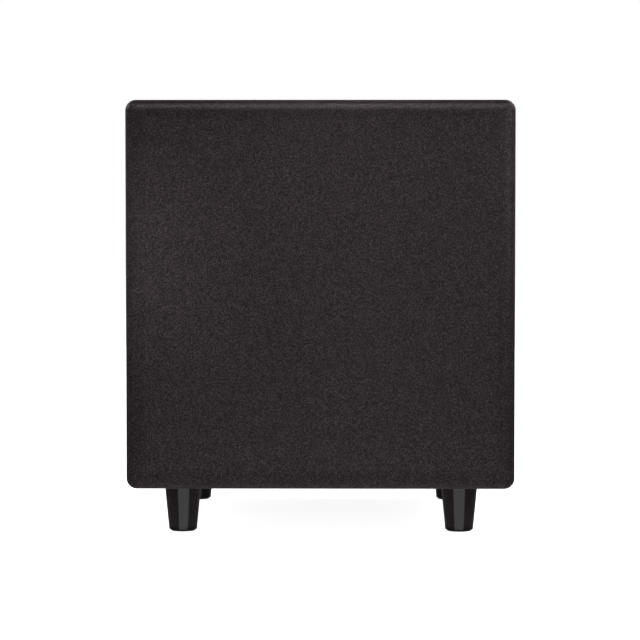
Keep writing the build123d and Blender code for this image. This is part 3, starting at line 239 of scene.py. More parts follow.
def grille_knit():
    """Fine warp knit: rows of V stitches, read from the cloth's own unfolded surface.

    Every stitch has its own tone and gloss. Every second one is painted lighter, a painted
    highlight in place of standing prouder, and each stitch has painted shade where its relief is
    low. The colour also has a painted shade on the line RIM_SHADOW from the middle, where the cloth
    leaves the rim.
    """
    look = Look("grille_knit", (0.0092, 0.007, 0.0078), 0.4, specular=0.17)
    look.even("Specular Tint", rgb(1.0, 0.86, 0.9))
    flat = look.add("ShaderNodeAttribute", attribute_name="cloth_xy").outputs["Vector"]
    x, z, _ = look.axes(flat)
    drift = look.noise(14, detail=1, vector=flat)
    x = look.maths("ADD", x, look.span(drift, 0, 1, -COLUMN_DRIFT * MM, COLUMN_DRIFT * MM))

    column = look.maths("DIVIDE", x, WALE * MM)
    across = look.maths("ABSOLUTE", look.maths("SUBTRACT", look.maths("FRACT", column), 0.5))
    leg = look.maths("SUBTRACT", 1.0, look.times(across, 2.0))
    leg = look.maths("SINE", look.times(leg, math.pi))
    slanted = look.maths("ADD", z, look.times(across, 1.1 * COURSE * MM))
    height = look.times(leg, look.span(look.waves(slanted, COURSE), 0, 1, 0.35, 1.0))

    wale_number = look.maths("FLOOR", column)
    course_number = look.maths("FLOOR", look.maths("DIVIDE", slanted, COURSE * MM))
    stitch = look.joined(wale_number, course_number, 0.0)
    parity = look.times(look.maths("ADD", wale_number, course_number), 0.5)
    stitch_highlight = look.maths("FRACT", parity)
    own = look.add("ShaderNodeTexWhiteNoise", {"Vector": stitch}, noise_dimensions="2D")
    own = look.maths("POWER", own.outputs["Value"], 2.0)

    fibres = look.noise(0.22, detail=2, vector=flat)
    clumps = look.noise(1.0, detail=2, rough=0.7, vector=flat)
    # Painted shade: the colour is up to 22 % darker along the line RIM_SHADOW from the middle.
    reach = look.maths("MAXIMUM", look.maths("ABSOLUTE", x), look.maths("ABSOLUTE", z))
    off_line = look.maths("ABSOLUTE", look.maths("SUBTRACT", reach, RIM_SHADOW * MM))
    painted_rim_shade = look.span(off_line, 1 * MM, 5 * MM)
    # Painted shade: each stitch is darker where its relief is low and lighter on top.
    tone = look.span(height, 0, 1, 0.72, 1.16)
    # Painted highlight: every second stitch is lighter in colour, in place of standing prouder.
    tone = look.times(tone, look.span(stitch_highlight, 0, 0.5, 0.7, 1.3))
    tone = look.times(tone, look.span(own, 0, 1, 0.5, 1.98))
    tone = look.times(tone, look.span(clumps, 0.3, 0.7, 0.88, 1.12))
    tone = look.times(tone, look.span(painted_rim_shade, 0, 1, 0.78, 1.0))
    tone = look.times(tone, look.span(fibres, 0.25, 0.75, 0.82, 1.18))
    tone = look.times(tone, look.span(look.noise(70, detail=2), 0.3, 0.7, 0.95, 1.05))
    inputs = {0: look.colour[:3], "Scale": tone}
    look.onto("Base Color", look.add("ShaderNodeVectorMath", inputs, operation="SCALE").outputs[0])
    look.onto("Specular IOR Level", look.span(own, 0, 1, 0.12, 0.32))
    look.onto("Roughness", look.span(own, 0, 1, 0.45, 0.33))
    look.bump(height, 0.035)
    look.bump(fibres, 0.012)
    return look


def rubber_black():
    look = Look("rubber_black", (0.021, 0.021, 0.022), 0.55, specular=0.4)
    look.mottled(18, 0.22, spread=0.08)
    look.bump(look.noise(0.5, detail=3), 0.03)
    return look


def gasket_foam():
    look = Look("gasket_foam", (0.03, 0.03, 0.031), 0.9, specular=0.2)
    pores = look.cells(0.9)
    # Painted shade: the foam is darker in the pits of its cells, where the bump is low.
    look.onto("Base Color", look.shade(look.span(pores, 0, 0.7), 0.5))
    look.bump(pores, 0.25)
    return look


def spider_cloth():
    """Plain-woven cotton stiffened with tan resin."""
    look = Look("spider_cloth", (0.5, 0.33, 0.13), 0.62, specular=0.35)
    x, _, z = look.axes()
    warp = look.waves(x, 0.9)
    weft = look.waves(z, 0.9)
    weave = look.times(warp, weft)
    resin = look.noise(12, detail=3)
    dark = look.between(look.span(resin, 0.35, 0.7), rgb(0.5, 0.33, 0.13), rgb(0.36, 0.21, 0.07))
    # Painted shade: the weave is darker where its relief is low, away from the thread crests.
    look.onto("Base Color", look.between(look.span(weave, 0, 1), rgb(0.22, 0.13, 0.05), dark))
    look.bump(weave, 0.12)
    return look


def cone_paper():
    """Pressed pulp with fibres, under a thin dark coating."""
    look = Look("cone_paper", (0.03, 0.029, 0.028), 0.6, specular=0.35)
    fibres = look.noise(2.2, detail=6, rough=0.7, warp=1.4)
    look.onto("Base Color", look.shade(look.span(fibres, 0.3, 0.7), 0.3))
    look.onto("Roughness", look.span(look.noise(25, detail=2), 0.3, 0.7, 0.5, 0.72))
    look.bump(fibres, 0.12)
    look.bump(look.noise(0.35, detail=2), 0.03)
    return look


def lead_braid():
    look = Look("lead_braid", (0.55, 0.5, 0.42), 0.34, metallic=1.0)
    _, y, z = look.axes()
    turns = look.waves(look.maths("ADD", y, z), 0.6)
    other = look.waves(look.maths("SUBTRACT", y, z), 0.6)
    plait = look.maths("MAXIMUM", turns, other)
    # Painted shade: the braid is darker in the hollows of the plait and lighter on its strands.
    look.onto("Base Color", look.shade(plait, 0.3))
    look.bump(plait, 0.1)
    return look


# ---------------------------------------------------------------- cabinet and plastics
PAINT_DEPTH = 9.0
STRIPE_V = 61.0


def painted_board():
    """Raw fibreboard, painted black on its outer front and back and just inside their holes."""
    look = Look("mdf", (0.42, 0.31, 0.21), 0.8, specular=0.25)
    fibre = look.noise(0.6, detail=5, rough=0.7, stretch=(1, 0.5, 1))
    clumps = look.noise(6, detail=3)
    brown = look.shade(look.span(fibre, 0.3, 0.7), 0.25)
    brown = look.between(look.span(clumps, 0.4, 0.75, 0, 0.5), brown, rgb(0.33, 0.23, 0.15))
    _, y, _ = look.axes()
    reach = (BACK_Y - FRONT_Y) / 2
    outer = look.span(look.maths("ABSOLUTE", y), reach - PAINT_DEPTH * MM, reach - 0.1 * MM)
    ink = look.shade(look.span(look.noise(9, detail=3), 0.3, 0.7), 0.2, (0.016, 0.016, 0.0165))
    look.onto("Base Color", look.between(outer, brown, ink))
    look.onto("Roughness", look.span(outer, 0, 1, 0.85, 0.48))
    look.bump(fibre, 0.06)
    look.bump(look.noise(1.1, detail=2), 0.05)
    return look


def vinyl_black():
    """Wood-printed vinyl: long embossed pores that run from front to back."""
    look = Look("vinyl_black", (0.028, 0.0272, 0.0278), 0.42, specular=0.45)
    run = (1, 0.035, 1)
    sway = look.noise(60, detail=1, stretch=(1, 0.4, 1))
    x, y, z = look.axes()
    shift = look.span(sway, 0, 1, -5 * MM, 5 * MM)
    swayed = look.joined(look.maths("ADD", x, shift), y, look.maths("ADD", z, shift))
    pores = look.noise(0.7, detail=3, rough=0.6, stretch=run, vector=swayed)
    figure = look.noise(5.5, detail=2, stretch=(1, 0.05, 1), vector=swayed)
    cut = look.span(pores, 0.52, 0.66)
    wide = look.span(figure, 0.4, 0.62)
    depth = look.times(cut, look.span(wide, 0, 1, 0.35, 1.0))
    streaks = look.span(look.noise(3.5, detail=4, stretch=(1, 0.03, 1), vector=swayed), 0.3, 0.7)
    grain = look.shade(streaks, 0.3)
    look.onto("Base Color", look.between(depth, grain, rgb(0.009, 0.009, 0.0095)))
    look.onto("Roughness", look.span(depth, 0, 1, 0.36, 0.62))
    look.bump(look.maths("SUBTRACT", 1.0, depth), 0.09)
    look.bump(look.noise(0.3, detail=2), 0.012)
    return look


def frame_plastic():
    look = Look("frame_plastic", (0.02, 0.02, 0.0205), 0.5, specular=0.4)
    look.mottled(30, 0.15, spread=0.06)
    look.bump(look.noise(0.45, detail=2), 0.03)
    return look


def foot_gloss():
    """Gloss moulded plastic with a faint flow and fine handling scratches."""
    look = Look("foot_gloss", (0.0028, 0.0022, 0.0025), 0.11, specular=0.5)
    look.onto("Base Color", look.shade(look.span(look.noise(8, detail=2), 0.3, 0.7), 0.2))
    marks = look.noise(0.5, detail=3, stretch=(1, 1, 0.05), warp=0.4)
    look.onto("Roughness", look.span(marks, 0.45, 0.8, 0.09, 0.2))
    look.bump(look.noise(7, detail=1), 0.03)
    return look


def moulding_black():
    look = Look("moulding_black", (0.016, 0.016, 0.0165), 0.46, specular=0.45)
    look.mottled(14, 0.18, spread=0.07)
    look.bump(look.noise(0.28, detail=2), 0.025)
    return look


def knob_plastic():
    look = Look("knob_plastic", (0.021, 0.021, 0.022), 0.4, specular=0.45)
    look.mottled(6, 0.15, spread=0.06)
    look.bump(look.noise(0.2, detail=2), 0.02)
    return look


def socket_plastic(red_side):
    """Phono socket insulators: one red, one white."""
    look = Look("socket_plastic", (0.7, 0.69, 0.66), 0.32)
    x, _, _ = look.axes()
    pale = look.shade(look.span(look.noise(4), 0.3, 0.7), 0.05)
    red = look.shade(look.span(look.noise(4), 0.3, 0.7), 0.12, (0.5, 0.012, 0.012))
    look.onto("Base Color", look.between(look.maths("LESS_THAN", x, red_side), pale, red))
    look.bump(look.noise(0.3, detail=1), 0.01)
    return look


def print_white():
    """Screen-printed ink, slightly uneven."""
    look = Look("print_white", (0.68, 0.68, 0.66), 0.6, specular=0.3)
    look.onto("Base Color", look.shade(look.span(look.noise(0.25, detail=3), 0.3, 0.7), 0.12))
    look.bump(look.noise(0.2, detail=2), 0.01)
    return look


def tag_board():
    look = Look("tag_board", (0.2, 0.1, 0.045), 0.5)
    look.onto("Base Color", look.shade(look.noise(1.2, detail=4, stretch=(0.2, 1, 1)), 0.45))
    look.bump(look.noise(0.4, detail=3), 0.02)
    return look


def capacitor_sleeve():
    """Shrunk sleeve, near black, with one pale polarity stripe."""
    look = Look("capacitor_sleeve", (0.014, 0.015, 0.03), 0.25, coat=0.2)
    _, _, z = look.axes()
    stripe = look.maths("GREATER_THAN", z, MIDDLE_Z + STRIPE_V * MM)
    pale = rgb(0.5, 0.52, 0.55)
    body = look.shade(look.span(look.noise(5, detail=2), 0.3, 0.7), 0.2)
    look.onto("Base Color", look.between(stripe, body, pale))
    look.bump(look.noise(3, detail=2), 0.05)
    return look


def led_lens():
    look = Look("led_lens", (0.16, 0.008, 0.006), 0.14, specular=0.6)
    look.even("Transmission Weight", 0.35)
    look.onto("Base Color", look.shade(look.span(look.noise(0.8), 0.3, 0.7), 0.2))
    look.bump(look.noise(0.6, detail=1), 0.01)
    return look


def wire_red_black(split):
    """Two insulated wires: the one on the +X side is red."""
    look = Look("wire_red_black", (0.3, 0.01, 0.01), 0.42)
    x, _, _ = look.axes()
    mixed = look.span(look.noise(6, detail=2), 0.3, 0.7)
    red = look.shade(mixed, 0.15)
    black = look.shade(mixed, 0.2, (0.012, 0.012, 0.012))
    look.onto("Base Color", look.between(look.maths("GREATER_THAN", x, split), black, red))
    look.bump(look.noise(0.6, detail=2), 0.02)
    return look


# ---------------------------------------------------------------- metals, board and windings
WIRE_PITCH = 0.45
FILM_LAPS = 34


def steel_zinc():
    look = Look("steel_zinc", (0.6, 0.6, 0.58), 0.32, metallic=1.0)
    tint = look.span(look.noise(9, detail=3), 0.35, 0.65)
    look.onto("Base Color", look.between(tint, rgb(0.62, 0.61, 0.56), rgb(0.55, 0.58, 0.6)))
    look.onto("Roughness", look.span(look.noise(2.5, detail=4), 0.3, 0.7, 0.24, 0.44))
    look.bump(look.noise(0.3, detail=2), 0.015)
    return look


def steel_black():
    """Fine textured powder coat."""
    look = Look("steel_black", (0.017, 0.017, 0.018), 0.5, specular=0.42)
    grit = look.noise(0.55, detail=2, rough=0.45)
    look.onto("Base Color", look.shade(look.span(look.noise(22, detail=3), 0.3, 0.7), 0.14))
    look.onto("Roughness", look.span(grit, 0.35, 0.65, 0.38, 0.6))
    look.bump(look.span(grit, 0.35, 0.7), 0.09)
    return look


def screw_black():
    look = Look("screw_black", (0.035, 0.034, 0.036), 0.36, metallic=0.75)
    look.mottled(1.4, 0.4, spread=0.1)
    look.bump(look.noise(0.25, detail=3), 0.02)
    return look


def heatsink_black():
    """Black anodised extrusion: faint die lines run up the fins."""
    look = Look("heatsink_black", (0.02, 0.02, 0.0215), 0.4, metallic=0.35)
    lines = look.noise(0.35, detail=3, rough=0.6, stretch=(1, 1, 0.008))
    look.onto("Base Color", look.shade(look.span(lines, 0.3, 0.7), 0.3))
    look.onto("Roughness", look.span(lines, 0.3, 0.7, 0.32, 0.5))
    look.bump(lines, 0.03)
    return look


def former_film():
    look = Look("former_film", (0.66, 0.66, 0.67), 0.28, metallic=1.0)
    drawn = look.noise(1.0, detail=4, stretch=(1, 0.05, 1))
    look.onto("Roughness", look.span(drawn, 0.3, 0.7, 0.2, 0.4))
    look.bump(look.noise(0.8, detail=2, stretch=(1, 0.1, 1)), 0.01)
    return look


def coil_copper():
    """Enamelled round wire, wound at a pitch of WIRE_PITCH."""
    look = Look("coil_copper", (0.62, 0.24, 0.08), 0.3, metallic=1.0, coat=0.3)
    _, y, _ = look.axes()
    turns = look.waves(y, WIRE_PITCH)
    # Painted shade and highlight: each turn is lighter on its crest and darker where turns meet.
    look.onto("Base Color", look.shade(turns, 0.4))
    look.bump(turns, 0.2)
    return look


def magnet_ferrite():
    look = Look("magnet_ferrite", (0.06, 0.06, 0.064), 0.55, specular=0.5)
    look.mottled(3, 0.3, spread=0.1)
    look.bump(look.noise(0.4, detail=4), 0.05)
    return look


def pin_nickel():
    look = Look("pin_nickel", (0.72, 0.7, 0.65), 0.2, metallic=1.0)
    look.onto("Roughness", look.span(look.noise(1.2, detail=4), 0.3, 0.7, 0.13, 0.3))
    look.bump(look.noise(0.5, detail=2), 0.006)
    return look


def board_green():
    """Circuit board: solder mask over traces."""
    look = Look("board_green", (0.01, 0.09, 0.035), 0.35, specular=0.5)
    lane = look.cells(4.0, feature="DISTANCE_TO_EDGE")
    trace = look.span(lane, 0.03, 0.06, 1, 0)
    look.onto("Base Color", look.between(trace, rgb(0.01, 0.09, 0.035), rgb(0.03, 0.19, 0.075)))
    look.bump(trace, 0.05)
    return look


def toroid_wrap(centre):
    """Winding wrapped in overlapping yellow film: each lap is one step round the ring."""
    look = Look("toroid_wrap", (0.52, 0.42, 0.08), 0.28, coat=0.3)
    x, _, z = look.axes()
    right, up = look.maths("SUBTRACT", x, centre.x), look.maths("SUBTRACT", z, centre.z)
    around = look.joined(right, up, 0.0)
    turn = look.add("ShaderNodeTexGradient", {"Vector": around}, gradient_type="RADIAL")
    lap = look.maths("FRACT", look.times(turn.outputs["Fac"], FILM_LAPS))
    look.onto("Base Color", look.shade(lap, 0.22))
    look.bump(lap, 0.25)
    look.bump(look.noise(2.5, detail=2), 0.06)
    return look


def fuse_glass(middle, half_glass):
    """Glass tube with a nickel cap at each end."""
    look = Look("fuse_glass", (0.8, 0.84, 0.84), 0.08)
    _, y, _ = look.axes()
    along = look.maths("ABSOLUTE", look.maths("SUBTRACT", y, middle))
    cap = look.maths("GREATER_THAN", along, half_glass)
    look.onto("Base Color", look.between(cap, rgb(0.8, 0.84, 0.84), rgb(0.72, 0.7, 0.66)))
    look.onto("Metallic", cap)
    look.onto("Transmission Weight", look.maths("SUBTRACT", 1.0, cap))
    look.bump(look.noise(1.5, detail=2), 0.006)
    return look


# ---------------------------------------------------------------- materials of the CAD nodes
sockets_low, sockets_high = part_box("rca_insulators")
toroid_low, toroid_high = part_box("transformer")
fuse_low, fuse_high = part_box("mains_fuse")
FUSE_CAP = 5.0
looks = [
    grille_knit(),
    rubber_black(),
    gasket_foam(),
    spider_cloth(),
    cone_paper(),
    lead_braid(),
    painted_board(),
    vinyl_black(),
    frame_plastic(),
    foot_gloss(),
    moulding_black(),
    knob_plastic(),
    socket_plastic((sockets_low.x + sockets_high.x) / 2),
    print_white(),
    tag_board(),
    capacitor_sleeve(),
    led_lens(),
    wire_red_black(0.0),
    steel_zinc(),
    steel_black(),
    screw_black(),
    heatsink_black(),
    former_film(),
    coil_copper(),
    magnet_ferrite(),
    pin_nickel(),
    board_green(),
    toroid_wrap((toroid_low + toroid_high) / 2),
    fuse_glass((fuse_low.y + fuse_high.y) / 2, (fuse_high.y - fuse_low.y) / 2 - FUSE_CAP * MM),
]
materials = {look.slot: look.material for look in looks}
for part in frame["record"]["subparts"]:
    nodes[part["node"]].data.materials.clear()
    nodes[part["node"]].data.materials.append(materials[part["material_slot"]])


# ---------------------------------------------------------------- building meshes
def new_piece(name, vertices, faces, slot_name):
    """A smooth mesh piece in the shared frame, with its slot's material."""
    mesh = bpy.data.meshes.new(name)
    mesh.from_pydata(vertices, [], faces)
    return finished_piece(name, mesh, slot_name)


def finished_piece(name, mesh, slot_name, smooth=True):
    shell = bmesh.new()
    shell.from_mesh(mesh)
    bmesh.ops.recalc_face_normals(shell, faces=shell.faces)
    shell.to_mesh(mesh)
    shell.free()
    if smooth:
        mesh.shade_smooth()
    mesh.materials.clear()
    mesh.materials.append(materials[slot_name])
    piece = bpy.data.objects.new(name, mesh)
    collection.objects.link(piece)
    return piece


def sheet_section(line, thickness):
    """Closed outline of a sheet that follows a line of (radius, depth) points."""
    half = thickness / 2
    one_side, other_side = [], []
    for i, (r, s) in enumerate(line):
        before, after = line[max(i - 1, 0)], line[min(i + 1, len(line) - 1)]
        along = Vector((after[0] - before[0], after[1] - before[1])).normalized()
        one_side.append((r - along.y * half, s + along.x * half))
        other_side.append((r + along.y * half, s - along.x * half))
    return one_side + other_side[::-1]


def lathe(name, outline, slot_name, steps=192):
    """A closed outline of (radius, depth) in mm, turned about the driver's axis."""
    vertices, faces = [], []
    count = len(outline)
    for k in range(steps):
        angle = 2 * math.pi * k / steps
        c, s = math.cos(angle), math.sin(angle)
        vertices += [front_point(r * c, r * s, depth) for r, depth in outline]
        here, there = k * count, (k + 1) % steps * count
        for i in range(count):
            j = (i + 1) % count
            faces.append((here + i, here + j, there + j, there + i))
    return new_piece(name, vertices, faces, slot_name)


def smooth_step(value, start, end):
    """0 at start, 1 at end, and an even S between them."""
    t = min(max((value - start) / (end - start), 0.0), 1.0)
    return t * t * (3 - 2 * t)


def follows_cone(piece, share):
    """Bakes the piece into the shared frame and works out share(point), how much of the cone's
    travel each point would make; nothing uses these weights, so the piece does not bend."""
    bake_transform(piece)
    weights = [share(vertex.co) for vertex in piece.data.vertices]


def driver_radius(point):
    return math.hypot(point.x, point.z - MIDDLE_Z) / MM


# ---------------------------------------------------------------- grille cloth
CLOTH_HALF = (cloth_high.x - cloth_low.x) / 2 / MM
CLOTH_DEEP = (cloth_high.y - cloth_low.y) / MM
CORNER = 8.5
RIM_DEEP = 9.5
RIM_FLAT = CLOTH_HALF - CORNER
RIM_ARC = 14.2
HEM = 8.0
CROWN_START = 3.0
CROWN_END = 17.0
CROWN_RISE = 1.5
FIELD_PROUD = 1.0
WAVE_HEIGHT = 0.3
TUCK_DEPTH = 0.25
FRONT_DEPTH = (cloth_low.y - FRONT_Y) / MM


def cloth_profile(past):
    """How far out from the flat field and how deep the cloth is, past mm beyond the field."""
    side = CLOTH_DEEP - RIM_DEEP
    if past <= RIM_ARC:
        angle = math.pi / 2 * past / RIM_ARC
        return CORNER * math.sin(angle), RIM_DEEP * (1 - math.cos(angle))
    past -= RIM_ARC
    if past <= side:
        return CORNER, RIM_DEEP + past
    return CORNER - (past - side), CLOTH_DEEP


def field_relief(x, z):
    """How far the cloth lies behind the CAD's flat front: it crowns towards the field, which
    has soft waves along the pull of the cloth."""
    edge = CLOTH_HALF - max(abs(x), abs(z))
    crown = CROWN_RISE * (1 - smooth_step(edge, CROWN_START, CROWN_END)) - FIELD_PROUD
    waves = 0.0
    for stretch_x, stretch_z, size, seed in ((1, 0.35, 46, 3.0), (0.4, 1, 60, 9.0)):
        place = Vector((x * stretch_x / size, z * stretch_z / size, seed))
        waves += WAVE_HEIGHT * noise.noise(place)
    return crown + waves * smooth_step(edge, CORNER, 30)


def cloth_lines():
    """Grid lines from edge to edge: wide apart on the field, close on the crown and the rim."""
    lines = [4.0 * k for k in range(33)]
    lines += [lines[-1] + (RIM_FLAT - lines[-1]) * k / 18 for k in range(1, 19)]
    lines += [RIM_FLAT + RIM_ARC * k / 12 for k in range(1, 13)]
    side_end = RIM_FLAT + RIM_ARC + CLOTH_DEEP - RIM_DEEP
    lines += [side_end - (CLOTH_DEEP - RIM_DEEP) * (1 - k / 6) for k in range(1, 7)]
    lines += [side_end + HEM * k / 5 for k in range(1, 6)]
    return [-line for line in lines[:0:-1]] + lines


def cloth_point(p, q):
    """Where the unfolded point (p, q) of the cloth lies once it is stretched over the frame."""
    past_p, past_q = abs(p) - RIM_FLAT, abs(q) - RIM_FLAT
    past = max(past_p, past_q, 0.0)
    reach, depth = cloth_profile(past)
    if min(past_p, past_q) <= 0:
        angle = 0.0 if past_p > past_q else math.pi / 2
        flat_p, flat_q = min(abs(p), RIM_FLAT), min(abs(q), RIM_FLAT)
        tucks = 0.0
    else:
        share = min(past_p, past_q) / past
        angle = math.pi / 4 * (share if past_p >= past_q else 2 - share)
        flat_p = flat_q = RIM_FLAT
        folds = math.sin(2 * angle) * math.cos(16 * angle)
        tucks = TUCK_DEPTH * smooth_step(depth, 5, 15) * folds
    x = math.copysign(flat_p + (reach - tucks) * math.cos(angle), p)
    z = math.copysign(flat_q + (reach - tucks) * math.sin(angle), q)
    if past < RIM_ARC:
        depth += field_relief(x, z) * (1 - smooth_step(past, 0, RIM_ARC))
    return front_point(x, z, FRONT_DEPTH + depth)


def make_cloth():
    lines = cloth_lines()
    count = len(lines)
    vertices = [cloth_point(p, q) for q in lines for p in lines]
    faces = [
        (row + i, row + i + 1, row + count + i + 1, row + count + i)
        for row in range(0, count * (count - 1), count)
        for i in range(count - 1)
    ]
    cloth = new_piece("stretched_grille_cloth", vertices, faces, "grille_knit")
    unfolded = cloth.data.attributes.new("cloth_xy", "FLOAT_VECTOR", "POINT")
    flat = [value * MM for q in lines for p in lines for value in (p, q, 0.0)]
    unfolded.data.foreach_set("vector", flat)
    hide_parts("grille_cloth")
    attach(cloth, "grille")


# ---------------------------------------------------------------- driver's soft parts
RUBBER = 1.2
ROLL_MIDDLE = 105.0
ROLL_RADIUS = 7.4
OUTER_LIP = 0.9
INNER_LIP = 2.4


def make_surround():
    """Half-roll rubber surround: an outer lip on the flange, the roll, an inner lip on the cone."""
    line = [(120.0, OUTER_LIP), (116.0, OUTER_LIP), (114.0, OUTER_LIP), (113.1, OUTER_LIP - 0.3)]
    for k in range(21):
        angle = math.pi * (8 + 164 * k / 20) / 180
        depth = OUTER_LIP - ROLL_RADIUS * math.sin(angle)
        line.append((ROLL_MIDDLE + ROLL_RADIUS * math.cos(angle), depth))
    line += [(97.3, 1.2), (96.7, 2.0), (95.5, INNER_LIP), (93.0, INNER_LIP), (90.0, INNER_LIP)]
    surround = lathe("rubber_surround", sheet_section(line, RUBBER), "rubber_black")
    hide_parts("surround")
    follows_cone(surround, lambda point: smooth_step(driver_radius(point), 112.4, 97.4))


SPIDER_INNER = 25.85
SPIDER_EDGE = 62.0
SPIDER_OUTER = 70.0
SPIDER_DEPTH = 61.6
SPIDER_WAVE = 2.2
SPIDER_CLOTH = 0.7


def make_spider():
    """Corrugated spider: four waves between the coil former and a flat glued lip."""
    line = []
    for k in range(65):
        r = SPIDER_INNER + (SPIDER_EDGE - SPIDER_INNER) * k / 64
        line.append((r, SPIDER_DEPTH + SPIDER_WAVE * math.sin(8 * math.pi * k / 64)))
    line += [(64.0, SPIDER_DEPTH), (67.0, SPIDER_DEPTH), (SPIDER_OUTER, SPIDER_DEPTH)]
    spider = lathe("spider_suspension", sheet_section(line, SPIDER_CLOTH), "spider_cloth")
    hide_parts("spider")
    follows_cone(spider, lambda point: smooth_step(driver_radius(point), SPIDER_EDGE, 26.5))


LEAD_X = 8
LEAD_ROUTE = [(67.9, -88.5), (58, -88.5), (48, -84), (43, -66), (40, -56), (35.5, -50)]


def make_leads():
    """Tinsel leads from the tag strip to the cone, in one smooth run each."""
    both = []
    for side in (1, -1):
        curve = bpy.data.curves.new("lead_line", "CURVE")
        curve.dimensions = "3D"
        curve.resolution_u = 8
        curve.bevel_depth = 0.8 * MM
        curve.bevel_resolution = 3
        curve.use_fill_caps = True
        spline = curve.splines.new("NURBS")
        spline.points.add(len(LEAD_ROUTE) - 1)
        for point, (depth, v) in zip(spline.points, LEAD_ROUTE):
            point.co = (*front_point(side * LEAD_X, v, depth), 1)
        spline.order_u = 4
        spline.use_endpoint_u = True
        holder = bpy.data.objects.new("lead_line", curve)
        both.append(bpy.data.meshes.new_from_object(holder))
        bpy.data.objects.remove(holder)
        bpy.data.curves.remove(curve)
    joined = bmesh.new()
    for mesh in both:
        joined.from_mesh(mesh)
        bpy.data.meshes.remove(mesh)
    mesh = bpy.data.meshes.new("tinsel_lead_pair")
    joined.to_mesh(mesh)
    joined.free()
    leads = finished_piece("tinsel_lead_pair", mesh, "lead_braid")
    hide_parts("tinsel_leads")
    follows_cone(leads, lambda point: smooth_step((point.y - FRONT_Y) / MM, 60, 37))


# ---------------------------------------------------------------- print on the amplifier plate
INK = 0.06
LEVEL_UV = (-66.0, 84.0)
CROSSOVER_UV = (-22.0, 84.0)
SWITCH_U = 22.0
PHASE_V = 95.0
MODE_V = 73.0
FIGURE_HEIGHT = 2.4
TICK_WIDTH = 0.5
TICK_START = 11.4
DIAL_FIGURES = 17.0
KNOB_FACE = 19.1


def bar(shell, middle, length, width, turn, place, thickness=INK):
    """Adds a thin bar to a bmesh, drawn in mm and laid on the plate."""
    turned = Matrix.Rotation(turn, 4, "Z")
    flat = Matrix.Diagonal((width * MM, length * MM, thickness * MM, 1))
    centre = Matrix.Translation(Vector((middle[0], middle[1], thickness / 2)) * MM)
    bmesh.ops.create_cube(shell, size=1, matrix=place @ centre @ turned @ flat)


def ring(shell, middle, radius, width, place, steps=48):
    """Adds a thin ring to a bmesh."""
    loops = []
    for k in range(steps):
        angle = 2 * math.pi * k / steps
        corner = []
        for side, height in ((-1, 0), (1, 0), (1, INK), (-1, INK)):
            reach = radius + side * width / 2
            u, v = middle[0] + reach * math.cos(angle), middle[1] + reach * math.sin(angle)
            corner.append(shell.verts.new(place @ (Vector((u, v, height)) * MM)))
        loops.append(corner)
    for k in range(steps):
        here, there = loops[k], loops[(k + 1) % steps]
        for i in range(4):
            j = (i + 1) % 4
            shell.faces.new((here[i], here[j], there[j], there[i]))


def figures(shell, words, middle, height, place):
    """Adds plain figures, height mm tall and centred on middle."""
    text = bpy.data.curves.new("figures", "FONT")
    text.body = words
    text.align_x = "CENTER"
    text.align_y = "CENTER"
    text.size = height * 1.4 * MM
    text.extrude = INK / 2 * MM
    holder = bpy.data.objects.new("figures", text)
    mesh = bpy.data.meshes.new_from_object(holder)
    mesh.transform(place @ Matrix.Translation(Vector((*middle, INK / 2)) * MM))
    shell.from_mesh(mesh)
    bpy.data.meshes.remove(mesh)
    bpy.data.objects.remove(holder)
    bpy.data.curves.remove(text)


def printed(name, shell, body):
    mesh = bpy.data.meshes.new(name)
    shell.to_mesh(mesh)
    shell.free()
    piece = finished_piece(name, mesh, "print_white", smooth=False)
    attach(piece, body)


def make_dial(name, middle, low, high):
    """Eleven ticks over the knob's 300 degrees of turn, with a figure at each end."""
    plate = rear_place(0, 0, PLATE_FACE)
    shell = bmesh.new()
    for k in range(11):
        angle = math.radians(-150 + 30 * k)
        length = 2.8 if k % 5 == 0 else 1.8
        reach = TICK_START + length / 2
        spot = (middle[0] + reach * math.sin(angle), middle[1] + reach * math.cos(angle))
        bar(shell, spot, length, TICK_WIDTH, -angle, plate)
    for words, angle in ((low, math.radians(-150)), (high, math.radians(150))):
        u = middle[0] + DIAL_FIGURES * math.sin(angle)
        v = middle[1] + DIAL_FIGURES * math.cos(angle)
        figures(shell, words, (u, v), FIGURE_HEIGHT, plate)
    printed(name, shell, "cabinet")


def make_switch_marks():
    """Figures beside the phase switch, and a tick at each stop of the mode switch."""
    plate = rear_place(0, 0, PLATE_FACE)
    shell = bmesh.new()
    figures(shell, "0", (SWITCH_U - 9.0, PHASE_V), FIGURE_HEIGHT, plate)
    figures(shell, "180", (SWITCH_U + 10.6, PHASE_V), FIGURE_HEIGHT, plate)
    for stop in (-3, 0, 3):
        bar(shell, (SWITCH_U + stop, MODE_V + 6.4), 1.8, TICK_WIDTH, 0.0, plate)
    printed("switch_print", shell, "cabinet")


def make_pointer(body, middle):
    """White fill in the knob's pointer groove."""
    shell = bmesh.new()
    place = rear_place(0, 0, KNOB_FACE)
    bar(shell, (middle[0], middle[1] + 4.9), 6.6, 1.1, 0.0, place, thickness=0.42)
    printed(f"{body}_pointer", shell, body)


